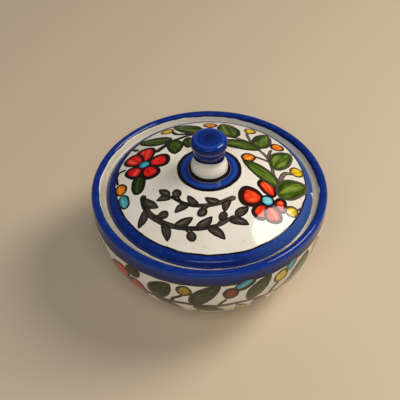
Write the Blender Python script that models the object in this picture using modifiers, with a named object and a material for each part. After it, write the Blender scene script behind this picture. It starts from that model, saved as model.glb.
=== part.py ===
# Lidded painted bowl: a thrown bowl with a gallery in its rim, a domed lid that seats in the
# gallery, and a turned knob luted to the lid. Metres, +Z up, origin at the middle of the foot.

import math

import bpy
from mathutils import Vector
from mathutils.geometry import interpolate_bezier

# Bowl: rim and outside
RIM_RADIUS = 0.0602
RIM_WALL = 0.0046
BOWL_HEIGHT = 0.0575
STRAIGHT_DROP = 0.0068
SIDE_TURN = math.radians(37.5)
BASE_CURVE = 0.030
BOWL_WALL = 0.0050

# Bowl: foot ring
FOOT_RADIUS = 0.0340
FOOT_WIDTH = 0.0046
FOOT_RECESS = 0.0021
FOOT_ROUND = 0.0008

# Bowl: gallery, the ledge inside the rim that carries the lid
GALLERY_DEPTH = 0.0067
GALLERY_THICKNESS = 0.0036
GALLERY_UNDERCUT = 0.0060
GALLERY_FILLET = 0.0012
GALLERY_NOSE = 0.0010

# Lid: the flat part of its seat that rests on the ledge is SEAT_LAP wide
LID_CLEARANCE = 0.00265
LID_EDGE_ROUND = 0.0020
LID_SHOULDER_WIDTH = 0.00495
LID_SHOULDER_HEIGHT = 0.0073
LID_HEIGHT = 0.0184
LID_WALL = 0.0042
LID_SEAT_WIDTH = 0.0042
LID_HOLLOW_CORNER = 0.0038
SEAT_LAP = 0.00215

# Knob, from its foot up
KNOB_FOOT_RADIUS = 0.0096
KNOB_COLLAR_RADIUS = 0.0093
KNOB_COLLAR_HEIGHT = 0.0018
KNOB_FLARE_HEIGHT = 0.0054
KNOB_WAIST_RADIUS = 0.00755
KNOB_NECK_HEIGHT = 0.0073
KNOB_NECK_SWELL = 0.0006
KNOB_CREASE_RADIUS = 0.0077
KNOB_LIP_HEIGHT = 0.0023
KNOB_HEAD_RADIUS = 0.00925
KNOB_HEAD_DROP = 0.0033
KNOB_CROWN_RADIUS = 0.0066
KNOB_CROWN_RISE = 0.0004

# Room left between two fired pieces that touch
SEAT_GAP = 0.0003

# How finely the turned shapes are drawn
BODY_STEPS = 56
KNOB_STEPS = 36
LONG_CURVE_STEPS = 8
CURVE_STEPS = 5
CORNER_STEPS = 2

WHITE_GLAZE = (0.74, 0.68, 0.58, 1.0)
COBALT_GLAZE = (0.012, 0.035, 0.19, 1.0)
GLAZE_ROUGHNESS = 0.16

QUARTER = math.pi / 2

# Radii and heights that follow from the sizes above
gallery_radius = RIM_RADIUS - RIM_WALL
lid_radius = gallery_radius - LID_CLEARANCE
lid_flat_radius = lid_radius - LID_EDGE_ROUND
mouth_radius = lid_flat_radius - SEAT_LAP - GALLERY_NOSE
ledge_z = BOWL_HEIGHT - GALLERY_DEPTH
seat_z = ledge_z + SEAT_GAP

# The lid's dome is part of a sphere through its apex and the top of its shoulder
shoulder_radius = lid_radius - LID_SHOULDER_WIDTH
shoulder_z = seat_z + LID_SHOULDER_HEIGHT
dome_rise = LID_HEIGHT - LID_SHOULDER_HEIGHT
dome_radius = (shoulder_radius ** 2 + dome_rise ** 2) / (2.0 * dome_rise)
dome_centre_z = seat_z + LID_HEIGHT - dome_radius

# The dome is cut flat where the knob's foot stands on it
knob_seat_z = dome_centre_z + math.sqrt(dome_radius ** 2 - KNOB_FOOT_RADIUS ** 2)
knob_base_z = knob_seat_z + SEAT_GAP


def arc(centre_r, centre_z, radius, start, end, steps=CURVE_STEPS):
    """Points (r, z) on an arc; angles are measured from +r towards +z."""
    points = []
    for i in range(steps + 1):
        angle = start + (end - start) * i / steps
        points.append((centre_r + radius * math.cos(angle), centre_z + radius * math.sin(angle)))
    return points


def bend(start, start_pull, end_pull, end, steps=CURVE_STEPS):
    """Points (r, z) on a Bezier curve between two points, drawn towards the two pulls."""
    knots = [Vector((r, z, 0.0)) for r, z in (start, start_pull, end_pull, end)]
    return [(p.x, p.y) for p in interpolate_bezier(*knots, steps + 1)]


def joined(*stretches):
    """One outline from stretches, with the points that two stretches share kept once."""
    outline = []
    for stretch in stretches:
        for point in stretch:
            if not outline or math.dist(outline[-1], point) > 1e-5:
                outline.append(point)
    return outline


def turned_piece(name, outline, steps, colour, collection):
    """A solid of revolution; the outline starts and ends on the axis and runs down outside."""
    mesh = bpy.data.meshes.new(name)
    vertices = [(r, 0.0, z) for r, z in outline]
    edges = [(i, i + 1) for i in range(len(outline) - 1)]
    mesh.from_pydata(vertices, edges, [])
    piece = bpy.data.objects.new(name, mesh)
    collection.objects.link(piece)

    screw = piece.modifiers.new("Turn", "SCREW")
    screw.axis = "Z"
    screw.angle = math.tau
    screw.steps = steps
    screw.render_steps = steps
    screw.use_merge_vertices = True
    screw.merge_threshold = 0.00001
    screw.use_smooth_shade = True

    material = bpy.data.materials.new(name + "_glaze")
    material.use_nodes = True
    shader = material.node_tree.nodes["Principled BSDF"]
    shader.inputs["Base Color"].default_value = colour
    shader.inputs["Roughness"].default_value = GLAZE_ROUGHNESS
    shader.inputs["Metallic"].default_value = 0.0
    mesh.materials.append(material)
    return piece


class BowlWall:
    """The bowl's wall in section: straight under the rim, then a wide side arc and a tighter base arc.

    The side arc's radius is whatever brings the base arc down level with the foot's recess.
    """

    def __init__(self):
        room = BOWL_HEIGHT - STRAIGHT_DROP - FOOT_RECESS
        turn = math.sin(SIDE_TURN)
        self.side_radius = (room - BASE_CURVE * (1.0 - turn)) / turn
        self.side_centre_r = RIM_RADIUS - self.side_radius
        self.side_centre_z = BOWL_HEIGHT - STRAIGHT_DROP
        apart = self.side_radius - BASE_CURVE
        self.base_centre_r = self.side_centre_r + apart * math.cos(SIDE_TURN)
        self.base_centre_z = self.side_centre_z - apart * turn

    def side(self, inset, start=0.0):
        radius = self.side_radius - inset
        return arc(self.side_centre_r, self.side_centre_z, radius, -start, -SIDE_TURN, LONG_CURVE_STEPS)

    def base(self, inset, end=QUARTER):
        radius = BASE_CURVE - inset
        return arc(self.base_centre_r, self.base_centre_z, radius, -SIDE_TURN, -end)

    def side_angle_below(self, drop, inset):
        """How far the side arc has turned at this depth below the rim."""
        return math.asin((drop - STRAIGHT_DROP) / (self.side_radius - inset))

    def base_angle_at(self, radius):
        """How far the base arc has turned where it is this far from the axis."""
        share = (radius - self.base_centre_r) / BASE_CURVE
        return max(SIDE_TURN, math.acos(min(1.0, max(0.0, share))))


def bowl_outline():
    wall = BowlWall()

    # Inside, from the floor's middle up to the underside of the gallery
    floor = [(0.0, FOOT_RECESS + BOWL_WALL)]
    undercut_drop = GALLERY_DEPTH + GALLERY_THICKNESS + GALLERY_UNDERCUT
    undercut_angle = wall.side_angle_below(undercut_drop, BOWL_WALL)
    inside = wall.base(BOWL_WALL)[::-1] + wall.side(BOWL_WALL, undercut_angle)[::-1]

    # Gallery: undercut, rounded nose, flat ledge and the fillet up into the rim
    wall_top = inside[-1]
    nose_r = mouth_radius + GALLERY_NOSE
    nose_low_z = ledge_z - GALLERY_THICKNESS
    wall_pull = (wall_top[0], wall_top[1] + 0.5 * GALLERY_UNDERCUT)
    nose_pull = (nose_r + 0.6 * GALLERY_UNDERCUT, nose_low_z - 0.2 * GALLERY_UNDERCUT)
    undercut = bend(wall_top, wall_pull, nose_pull, (nose_r, nose_low_z))
    nose_low = arc(nose_r, nose_low_z + GALLERY_NOSE, GALLERY_NOSE, -QUARTER, -math.pi, CORNER_STEPS)
    nose_high = arc(nose_r, ledge_z - GALLERY_NOSE, GALLERY_NOSE, math.pi, QUARTER, CORNER_STEPS)
    fillet = arc(gallery_radius - GALLERY_FILLET, ledge_z + GALLERY_FILLET, GALLERY_FILLET,
                 -QUARTER, 0.0, CORNER_STEPS)

    # Rolled rim, half the rim wall in radius
    roll = 0.5 * RIM_WALL
    rim = arc(gallery_radius + roll, BOWL_HEIGHT - roll, roll, math.pi, 0.0, LONG_CURVE_STEPS)

    # Outside down to the foot ring, the ring's flat face and the recess inside it
    outside = wall.side(0.0) + wall.base(0.0, wall.base_angle_at(FOOT_RADIUS))
    edge = min(FOOT_ROUND, 0.45 * FOOT_WIDTH, 0.8 * FOOT_RECESS)
    foot_inner_r = FOOT_RADIUS - FOOT_WIDTH
    foot_outer = arc(FOOT_RADIUS - edge, edge, edge, 0.0, -QUARTER, CORNER_STEPS)
    foot_inner = arc(foot_inner_r + edge, edge, edge, -QUARTER, -math.pi, CORNER_STEPS)
    recess = [(foot_inner_r, FOOT_RECESS), (0.0, FOOT_RECESS)]

    return joined(floor, inside, undercut, nose_low, nose_high, fillet, rim, outside,
                  foot_outer, foot_inner, recess)


def lid_outline():
    # Flat for the knob, then the dome
    shoulder_angle = math.asin(shoulder_radius / dome_radius)
    seat_angle = math.asin(KNOB_FOOT_RADIUS / dome_radius)
    crown = [(0.0, knob_seat_z)]
    over = arc(0.0, dome_centre_z, dome_radius, QUARTER - seat_angle, QUARTER - shoulder_angle,
               LONG_CURVE_STEPS)

    # The shoulder falls from the dome to the rounded edge that fits in the gallery
    edge_z = seat_z + LID_EDGE_ROUND
    pull = 0.5 * LID_SHOULDER_WIDTH
    dome_pull = (shoulder_radius + pull * math.cos(shoulder_angle),
                 shoulder_z - pull * math.sin(shoulder_angle))
    shoulder = bend(over[-1], dome_pull, (lid_radius, edge_z + 0.9 * pull), (lid_radius, edge_z))
    edge = arc(lid_flat_radius, edge_z, LID_EDGE_ROUND, 0.0, -QUARTER, 2 * CORNER_STEPS)

    # Underside: flat seat, then a corner up into the hollow, which follows the dome
    seat_inner_r = lid_flat_radius - LID_SEAT_WIDTH
    hollow_r = seat_inner_r - LID_HOLLOW_CORNER
    hollow_radius = dome_radius - LID_WALL
    hollow_angle = math.asin(hollow_r / hollow_radius)
    hollow = arc(0.0, dome_centre_z, hollow_radius, QUARTER - hollow_angle, QUARTER, LONG_CURVE_STEPS)
    seat_pull = (seat_inner_r, seat_z + 0.6 * LID_HOLLOW_CORNER)
    hollow_pull = (hollow_r + 0.5 * LID_HOLLOW_CORNER * math.cos(hollow_angle),
                   hollow[0][1] - 0.5 * LID_HOLLOW_CORNER * math.sin(hollow_angle))
    corner = bend((seat_inner_r, seat_z), seat_pull, hollow_pull, hollow[0])
    return joined(crown, over, shoulder, edge, corner, hollow)


def knob_outline():
    collar_z = knob_base_z + KNOB_COLLAR_HEIGHT
    waist_z = collar_z + KNOB_FLARE_HEIGHT
    crease_z = waist_z + KNOB_NECK_HEIGHT
    head_z = crease_z + KNOB_LIP_HEIGHT
    top_z = head_z + KNOB_HEAD_DROP

    # Flat-topped head: a slightly domed crown, a round shoulder and a lip rolled under to a sharp crease
    crown_edge = (KNOB_CROWN_RADIUS, top_z - KNOB_CROWN_RISE)
    crown = bend((0.0, top_z), (0.5 * KNOB_CROWN_RADIUS, top_z),
                 (0.8 * KNOB_CROWN_RADIUS, top_z - 0.3 * KNOB_CROWN_RISE), crown_edge)
    shoulder_width = KNOB_HEAD_RADIUS - KNOB_CROWN_RADIUS
    shoulder = bend(crown_edge, (KNOB_CROWN_RADIUS + 0.6 * shoulder_width, top_z - 1.6 * KNOB_CROWN_RISE),
                    (KNOB_HEAD_RADIUS, head_z + 0.45 * KNOB_HEAD_DROP), (KNOB_HEAD_RADIUS, head_z))
    lip_depth = KNOB_HEAD_RADIUS - KNOB_CREASE_RADIUS
    lip = bend((KNOB_HEAD_RADIUS, head_z), (KNOB_HEAD_RADIUS, head_z - 0.55 * KNOB_LIP_HEIGHT),
               (KNOB_CREASE_RADIUS + 0.75 * lip_depth, crease_z + 0.15 * KNOB_LIP_HEIGHT),
               (KNOB_CREASE_RADIUS, crease_z))

    # Neck: swells a little under the crease and draws in to the waist
    neck = bend((KNOB_CREASE_RADIUS, crease_z),
                (KNOB_CREASE_RADIUS + KNOB_NECK_SWELL, crease_z - 0.25 * KNOB_NECK_HEIGHT),
                (KNOB_WAIST_RADIUS, waist_z + 0.4 * KNOB_NECK_HEIGHT), (KNOB_WAIST_RADIUS, waist_z))

    # Collar: flares from the waist to the foot that is luted to the lid
    flare = bend((KNOB_WAIST_RADIUS, waist_z), (KNOB_WAIST_RADIUS, waist_z - 0.35 * KNOB_FLARE_HEIGHT),
                 (KNOB_COLLAR_RADIUS, collar_z + 0.45 * KNOB_FLARE_HEIGHT), (KNOB_COLLAR_RADIUS, collar_z))
    foot = [(KNOB_FOOT_RADIUS, knob_base_z), (0.0, knob_base_z)]
    return joined(crown, shoulder, lip, neck, flare, foot)


def clear_scene():
    for item in list(bpy.data.objects):
        bpy.data.objects.remove(item, do_unlink=True)


def main():
    clear_scene()
    collection = bpy.data.collections.new("olive_oil_bowl")
    bpy.context.scene.collection.children.link(collection)

    turned_piece("bowl", bowl_outline(), BODY_STEPS, WHITE_GLAZE, collection)
    lid = turned_piece("lid", lid_outline(), BODY_STEPS, WHITE_GLAZE, collection)
    knob = turned_piece("knob", knob_outline(), KNOB_STEPS, COBALT_GLAZE, collection)

    # The lid and its knob lift off together along the bowl's axis
    lift = bpy.data.objects.new("lid_lift", None)
    collection.objects.link(lift)
    lid.parent = lift
    knob.parent = lift


main()
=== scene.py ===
import math
import random
from types import SimpleNamespace

import bpy
from mathutils import Euler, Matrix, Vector
from mathutils.geometry import interpolate_bezier


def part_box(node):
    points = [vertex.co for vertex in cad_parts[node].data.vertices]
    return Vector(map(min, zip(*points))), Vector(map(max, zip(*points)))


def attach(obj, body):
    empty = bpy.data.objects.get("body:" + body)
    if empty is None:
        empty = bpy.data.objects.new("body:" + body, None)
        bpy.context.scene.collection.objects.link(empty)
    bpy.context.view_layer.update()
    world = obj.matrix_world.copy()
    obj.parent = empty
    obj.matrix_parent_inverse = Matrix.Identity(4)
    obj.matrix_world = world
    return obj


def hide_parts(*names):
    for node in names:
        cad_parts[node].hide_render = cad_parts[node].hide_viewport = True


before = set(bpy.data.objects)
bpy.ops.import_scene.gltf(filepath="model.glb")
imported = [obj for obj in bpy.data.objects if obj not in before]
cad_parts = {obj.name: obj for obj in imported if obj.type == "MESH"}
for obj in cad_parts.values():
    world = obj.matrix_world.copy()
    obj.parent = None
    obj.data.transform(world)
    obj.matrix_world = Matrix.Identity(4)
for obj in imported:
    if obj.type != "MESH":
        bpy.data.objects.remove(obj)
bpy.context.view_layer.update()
mm = 0.001  # sizes below are in millimetres and become metres here
weld = 0.001 * mm  # points this close are one


# Small helpers

def fromHex(code):
    # sRGB hex to the linear colour that shaders work in
    parts = [int(code[i:i + 2], 16) / 255 for i in (1, 3, 5)]
    return tuple(c / 12.92 if c <= 0.04045 else ((c + 0.055) / 1.055) ** 2.4 for c in parts) + (1.0,)


def addNode(tree, kind, inputs=(), **settings):
    # adds a node. Its inputs go by name, or in their own order where they come in a row, and each takes
    # a number, a socket, or a node whose first live output is meant
    node = tree.nodes.new(kind)
    for name, value in settings.items():
        setattr(node, name, value)
    for key, value in inputs.items() if isinstance(inputs, dict) else enumerate(inputs):
        socket = node.inputs[key] if isinstance(key, int) else next(
            s for s in node.inputs if s.enabled and s.name == key)
        if isinstance(value, bpy.types.Node):
            value = next(s for s in value.outputs if s.enabled)
        if isinstance(value, bpy.types.NodeSocket):
            tree.links.new(value, socket)
        else:
            socket.default_value = value
    return node


def newObject(name, data):
    thing = bpy.data.objects.new(name, data)
    bpy.context.scene.collection.objects.link(thing)
    return thing


def newTree(name, sockets):
    # a Geometry Nodes tree with these inputs, {name: (kind, default)}
    tree = bpy.data.node_groups.new(name, "GeometryNodeTree")
    for label, (kind, default) in sockets.items():
        socket = tree.interface.new_socket(label, in_out="INPUT", socket_type="NodeSocket" + kind)
        if default is not None:
            socket.default_value = default
    tree.interface.new_socket("Geometry", in_out="OUTPUT", socket_type="NodeSocketGeometry")
    return tree, tree.nodes.new("NodeGroupInput").outputs


def endTree(tree, geometry, material):
    # a tree that makes a piece ends in real faces with their material
    real = addNode(tree, "GeometryNodeRealizeInstances", (geometry,))
    finished = addNode(tree, "GeometryNodeSetMaterial", {"Geometry": real, "Material": material})
    addNode(tree, "NodeGroupOutput", (finished,))


def settled(name, mesh, tree, values):
    # runs a tree over a mesh and keeps the result as a plain mesh object
    worker = newObject(name + "Source", mesh)
    modifier = worker.modifiers.new(tree.name, "NODES")
    modifier.node_group = tree
    for item in tree.interface.items_tree:
        if item.in_out == "INPUT" and item.name in values:
            modifier[item.identifier] = values[item.name]
    depsgraph = bpy.context.evaluated_depsgraph_get()
    result = bpy.data.meshes.new_from_object(worker.evaluated_get(depsgraph),
                                             preserve_all_data_layers=True, depsgraph=depsgraph)
    result.name = name
    piece = newObject(name, result)
    bpy.data.objects.remove(worker, do_unlink=True)
    return piece


# Sections, drawn in mm as (radius, height), with a point about every step mm

def arcPoints(centreR, centreZ, radius, start, end, step=0.55):
    count = max(3, math.ceil(abs(math.radians(end - start)) * radius / step))
    angles = [math.radians(start + (end - start) * i / count) for i in range(count + 1)]
    return [(centreR + radius * math.cos(a), centreZ + radius * math.sin(a)) for a in angles]


def easePoints(start, startPull, endPull, end, step=0.55):
    # a smooth curve that leaves start towards startPull and comes into end from endPull
    knots = [Vector((r, z, 0)) for r, z in (start, startPull, endPull, end)]
    count = max(4, math.ceil((knots[3] - knots[0]).length / step) + 1)
    return [(p.x, p.y) for p in interpolate_bezier(*knots, count)]


def linePoints(start, end, step=0.8):
    count = max(1, math.ceil(math.dist(start, end) / step))
    return [(start[0] + (end[0] - start[0]) * i / count, start[1] + (end[1] - start[1]) * i / count)
            for i in range(count + 1)]


def joinSection(*stretches, near=0.01):
    # a point nearer than this to the one before it is left out
    section = []
    for stretch in stretches:
        section += [p for p in stretch if not section or math.dist(section[-1], p) > near]
    return section


def lengthsFrom(section, zero=0):
    # distance along the section of each point, counted from point number zero
    lengths = [0.0]
    for a, b in zip(section, section[1:]):
        lengths.append(lengths[-1] + math.dist(a, b))
    return [length - lengths[zero] for length in lengths]


# The wheel: a section turned into a solid

wheelTree, wheelIn = newTree("turnOnWheel", {
    "Geometry": ("Geometry", None),
    "Turn Steps": ("Int", 256),
    "Sway": ("Float", 0.004),        # share of the radius and height that the hand strays inwards
    "Sway Length": ("Float", 0.05),  # metres from one stray to the next
    "Seed": ("Float", 0.0),
    "Glaze": ("Material", None),
})
t = wheelTree
sectionSize = addNode(t, "GeometryNodeAttributeDomainSize", {"Geometry": wheelIn["Geometry"]})
columns = addNode(t, "FunctionNodeIntegerMath", (wheelIn["Turn Steps"], 1), operation="ADD")
blank = addNode(t, "GeometryNodeMeshGrid", {
    "Vertices X": sectionSize.outputs["Point Count"], "Vertices Y": columns})
index = addNode(t, "GeometryNodeInputIndex")
row = addNode(t, "FunctionNodeIntegerMath", (index, columns), operation="DIVIDE_FLOOR")
column = addNode(t, "FunctionNodeIntegerMath", (index, columns), operation="MODULO")
turned = addNode(t, "ShaderNodeMath", (column, wheelIn["Turn Steps"]), operation="DIVIDE")
angle = addNode(t, "ShaderNodeMath", (turned, math.tau), operation="MULTIPLY")
drawn = addNode(t, "GeometryNodeInputPosition")
profilePoint = addNode(t, "GeometryNodeSampleIndex", {
    "Geometry": wheelIn["Geometry"], "Value": drawn, "Index": row}, data_type="FLOAT_VECTOR")
spun = addNode(t, "ShaderNodeVectorRotate", {"Vector": profilePoint, "Angle": angle}, rotation_type="Z_AXIS")
drawnAlong = addNode(t, "GeometryNodeInputNamedAttribute", {"Name": "along"})
along = addNode(t, "GeometryNodeSampleIndex", {
    "Geometry": wheelIn["Geometry"], "Value": drawnAlong, "Index": row})
stray = addNode(t, "ShaderNodeVectorMath", (spun, wheelIn["Sway Length"]), operation="DIVIDE")
strayNoise = addNode(t, "ShaderNodeTexNoise", {
    "Vector": stray, "W": wheelIn["Seed"], "Scale": 1.0, "Detail": 1.0}, noise_dimensions="4D")
strayed = addNode(t, "ShaderNodeMath", (strayNoise, wheelIn["Sway"]), operation="MULTIPLY")
shrink = addNode(t, "ShaderNodeMath", (1.0, strayed), operation="SUBTRACT")
shrinkXY = addNode(t, "ShaderNodeCombineXYZ", (shrink, shrink, 1.0))
handTurned = addNode(t, "ShaderNodeVectorMath", (spun, shrinkXY), operation="MULTIPLY")
shaped = addNode(t, "GeometryNodeSetPosition", {"Geometry": blank, "Position": handTurned})
marked = addNode(t, "GeometryNodeStoreNamedAttribute", {"Geometry": shaped, "Name": "along", "Value": along})
closed = addNode(t, "GeometryNodeMergeByDistance", {"Geometry": marked, "Distance": weld})
smooth = addNode(t, "GeometryNodeSetShadeSmooth", {"Geometry": closed})
endTree(t, smooth, wheelIn["Glaze"])
print("wheel tree ready")


def turnPiece(name, section, lengths, shape, glaze):
    mesh = bpy.data.meshes.new(name + "Section")
    mesh.from_pydata([(r * mm, 0, z * mm) for r, z in section],
                     [(i, i + 1) for i in range(len(section) - 1)], [])
    mesh.attributes.new("along", "FLOAT", "POINT").data.foreach_set("value", lengths)
    return settled(name, mesh, wheelTree, {
        "Turn Steps": shape["turnSteps"], "Sway": shape["sway"], "Sway Length": shape["swayLength"] * mm,
        "Seed": shape["seed"], "Glaze": glaze})


# Glazes

glazeFinish = {
    "roughness": 0.055,          # clear lead-free glaze, fired glossy
    "thickThin": (0.8, 1.3),     # share of that roughness where the glaze lies thick and where thin
    "biscuit": 0.85,             # roughness of the bare fired clay
    "ior": 1.45,
    "peelSize": 2.6,             # mm between the soft dimples of the glaze
    "peelDepth": 0.010,          # mm
    "cloudSize": 16,             # mm, warmer clouds in the white ground
    "cloudSpan": (0.35, 0.70),
    "speckSize": 1.1,            # mm from one chance of an iron speck to the next
    "speckSpan": (0.76, 0.84, 0.5),  # how rare the specks are, how soft, and how strong
    "waverSize": 9,              # mm from one waver of the banding brush to the next
    "leanReach": 60,             # mm from the axis at which a lean counts in full
    "frontSoft": 9,              # mm over which a lift at the front sets in
    "bandEdge": 0.16,            # mm, half width of a band's soft edge
    "bleedEdge": 0.30,
    "bareEdge": 0.20,
    "streaks": (15.0, 0.8),      # streaks round the pot, and across a mm of its section
    "mottleSize": 1.5,           # mm, where the cobalt was dabbed on and not banded
    "cobaltRamp": (0.20, 0.50, 0.90),  # where the cobalt is deep, full and thin
}
# some tones stand in for light: the thin cobalt also gives painted highlights, the deep one painted shade,
# the pale one painted light on the lid's right, and the violet one a painted reflection under the knob's head
bodyColours = {
    "white": "#ece7dc", "whiteWarm": "#e2dac9", "speck": "#93846c", "cobalt": "#0a2a7c",
    "cobaltDeep": "#030d42", "cobaltThinAndSheen": "#224ea6", "cobaltLitSide": "#4f76c0", "cobaltLipReflection": "#968fb2",
    "ink": "#120f0d", "bleed": "#4a72b8", "biscuit": "#c9a67c",
}
tone = {name: fromHex(code) for name, code in bodyColours.items()}
noiseSpan = (0.3, 0.7)  # nearly all values of a noise texture lie between these


def newFinish(name):
    # a material with an empty tree, and where its surface lies
    material = bpy.data.materials.new(name)
    material.use_nodes = True
    tree = material.node_tree
    tree.nodes.clear()
    return material, tree, addNode(tree, "ShaderNodeTexCoord").outputs["Object"]


def glossOver(tree, place, colour, shine=glazeFinish["roughness"]):
    # the same clear glaze lies over the ground and every paint: wet gloss with the faintest dimples
    peel = addNode(tree, "ShaderNodeTexNoise", {
        "Vector": place, "Scale": 1 / (glazeFinish["peelSize"] * mm), "Detail": 1.0})
    bump = addNode(tree, "ShaderNodeBump", {
        "Height": peel, "Strength": 1.0, "Distance": glazeFinish["peelDepth"] * mm})
    shader = addNode(tree, "ShaderNodeBsdfPrincipled", {
        "Base Color": colour, "Roughness": shine, "Normal": bump, "IOR": glazeFinish["ior"]})
    addNode(tree, "ShaderNodeOutputMaterial", {"Surface": shader})


def wheelStreaks(tree, place, along):
    # noise drawn out round the wheel: a loaded brush held against the turning pot
    around, down = glazeFinish["streaks"]
    flat = addNode(tree, "ShaderNodeVectorMath", (place, (1, 1, 0)), operation="MULTIPLY")
    heading = addNode(tree, "ShaderNodeVectorMath", (flat,), operation="NORMALIZE")
    wide = addNode(tree, "ShaderNodeVectorMath", {0: heading, "Scale": around}, operation="SCALE")
    deep = addNode(tree, "ShaderNodeMath", (along, down), operation="MULTIPLY")
    upright = addNode(tree, "ShaderNodeCombineXYZ", {"Z": deep})
    streak = addNode(tree, "ShaderNodeVectorMath", (wide, upright), operation="ADD")
    return addNode(tree, "ShaderNodeTexNoise", {
        "Vector": streak, "Scale": 1.0, "Detail": 3.0, "Roughness": 0.6})


def rampColours(node, places, colours):
    ramp = node.color_ramp
    for element, place, colour in zip(ramp.elements, places, colours):
        element.position, element.color = place, colour
    ramp.elements.new(places[2]).color = colours[2]


def coated(tree, colour, coats):
    # lays coats over a colour, one after another, each (cover, colour)
    for cover, coat in coats:
        colour = addNode(tree, "ShaderNodeMix", {"Factor": cover, "A": colour, "B": coat}, data_type="RGBA")
    return colour


def coverBetween(tree, at, start, end, soft, fade="SMOOTHSTEP"):
    # 1 from start to end and 0 elsewhere, with edges of this half width
    rise = addNode(tree, "ShaderNodeMapRange", (at, start - soft, start + soft), interpolation_type=fade)
    fall = addNode(tree, "ShaderNodeMapRange", (at, end - soft, end + soft, 1, 0), interpolation_type=fade)
    return addNode(tree, "ShaderNodeMath", (rise, fall), operation="MULTIPLY")


def brushPlaces(tree, place, along, side, lean, waver, joint):
    # where the bands' paint lies along the section, first for a level band and then for one that leans
    g = glazeFinish

    # the brush wanders a little as the pot turns, leans to one side of it and lifts at its front
    shake = addNode(tree, "ShaderNodeTexNoise", {
        "Vector": place, "Scale": 1 / (g["waverSize"] * mm), "Detail": 2.0})
    shaken = addNode(tree, "ShaderNodeMapRange", (shake, *noiseSpan, -waver, waver))
    sideLean, frontLean = (amount / (g["leanReach"] * mm) for amount in lean)
    leaned = addNode(tree, "ShaderNodeMath", (side.outputs["X"], sideLean, shaken), operation="MULTIPLY_ADD")
    front = addNode(tree, "ShaderNodeMath", (side.outputs["Y"], 0.0, g["frontSoft"] * mm),
                    operation="SMOOTH_MIN")
    leaned = addNode(tree, "ShaderNodeMath", (front, frontLean, leaned), operation="MULTIPLY_ADD")
    level = addNode(tree, "ShaderNodeMath", (along, shaken), operation="ADD")
    painted = addNode(tree, "ShaderNodeMath", (along, leaned), operation="ADD")
    if not joint:
        return level, painted

    # and it slips where it met its own start
    azimuth, halfWidth, slip, start, end = joint
    heading = addNode(tree, "ShaderNodeMath", (side.outputs["Y"], side.outputs["X"]), operation="ARCTAN2")
    fromJoint = addNode(tree, "ShaderNodeMath", (heading, math.radians(azimuth)), operation="SUBTRACT")
    far = addNode(tree, "ShaderNodeMath", (fromJoint,), operation="ABSOLUTE")
    slipping = addNode(tree, "ShaderNodeMapRange", (far, 0, math.radians(halfWidth), slip, 0))
    beyond = addNode(tree, "ShaderNodeMath", (along, start), operation="GREATER_THAN")
    before = addNode(tree, "ShaderNodeMath", (along, end), operation="LESS_THAN")
    between = addNode(tree, "ShaderNodeMath", (beyond, before), operation="MULTIPLY")
    slipThere = addNode(tree, "ShaderNodeMath", (slipping, between), operation="MULTIPLY")
    return level, addNode(tree, "ShaderNodeMath", (painted, slipThere), operation="ADD")


def whiteGround(tree, place, cloud):
    # tin white: cloudy, warmer where thin, with fine iron specks
    g = glazeFinish
    cloudy = addNode(tree, "ShaderNodeMapRange", (cloud, *g["cloudSpan"]))
    speck = addNode(tree, "ShaderNodeTexNoise", {
        "Vector": place, "Scale": 1 / (g["speckSize"] * mm), "Detail": 0.0})
    rare, soft, strong = g["speckSpan"]
    specked = addNode(tree, "ShaderNodeMapRange", (speck, rare, soft, 0, strong))
    return coated(tree, tone["white"], [(cloudy, tone["whiteWarm"]), (specked, tone["speck"])])


def cobaltCoat(tree, place, along, side, shades, streaked, mottle, paintedLightRight):
    # cobalt blue, streaked round the wheel or dabbed on, with deeper and paler bands of pooled and thin
    # glaze, of painted shade and painted highlight, and paler to the right as painted light
    g = glazeFinish
    streaks = wheelStreaks(tree, place, along) if streaked else addNode(tree, "ShaderNodeTexNoise", {
        "Vector": place, "Scale": 1 / (g["mottleSize"] * mm), "Detail": 2.0, "Roughness": 0.5})
    evened = addNode(tree, "ShaderNodeMath", (streaks, mottle, 0.5 - 0.5 * mottle), operation="MULTIPLY_ADD")
    cobalt = addNode(tree, "ShaderNodeValToRGB", {"Fac": evened})
    rampColours(cobalt, g["cobaltRamp"], (tone["cobaltDeep"], tone["cobalt"], tone["cobaltThinAndSheen"]))
    coats = []
    for middle, half, amount, shade in shades:
        off = addNode(tree, "ShaderNodeMath", (along, middle), operation="SUBTRACT")
        far = addNode(tree, "ShaderNodeMath", (off,), operation="ABSOLUTE")
        there = addNode(tree, "ShaderNodeMapRange", (far, 0, half, amount, 0),
                        interpolation_type="SMOOTHSTEP")
        coats.append((there, tone[shade]))
    # painted light: the cobalt turns paler towards the right, where the lamps fall
    if paintedLightRight:
        start, end, amount = paintedLightRight
        there = addNode(tree, "ShaderNodeMapRange", (side.outputs["X"], start * mm, end * mm, 0, amount))
        coats.append((there, tone["cobaltLitSide"]))
    return coated(tree, cobalt, coats)


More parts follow.
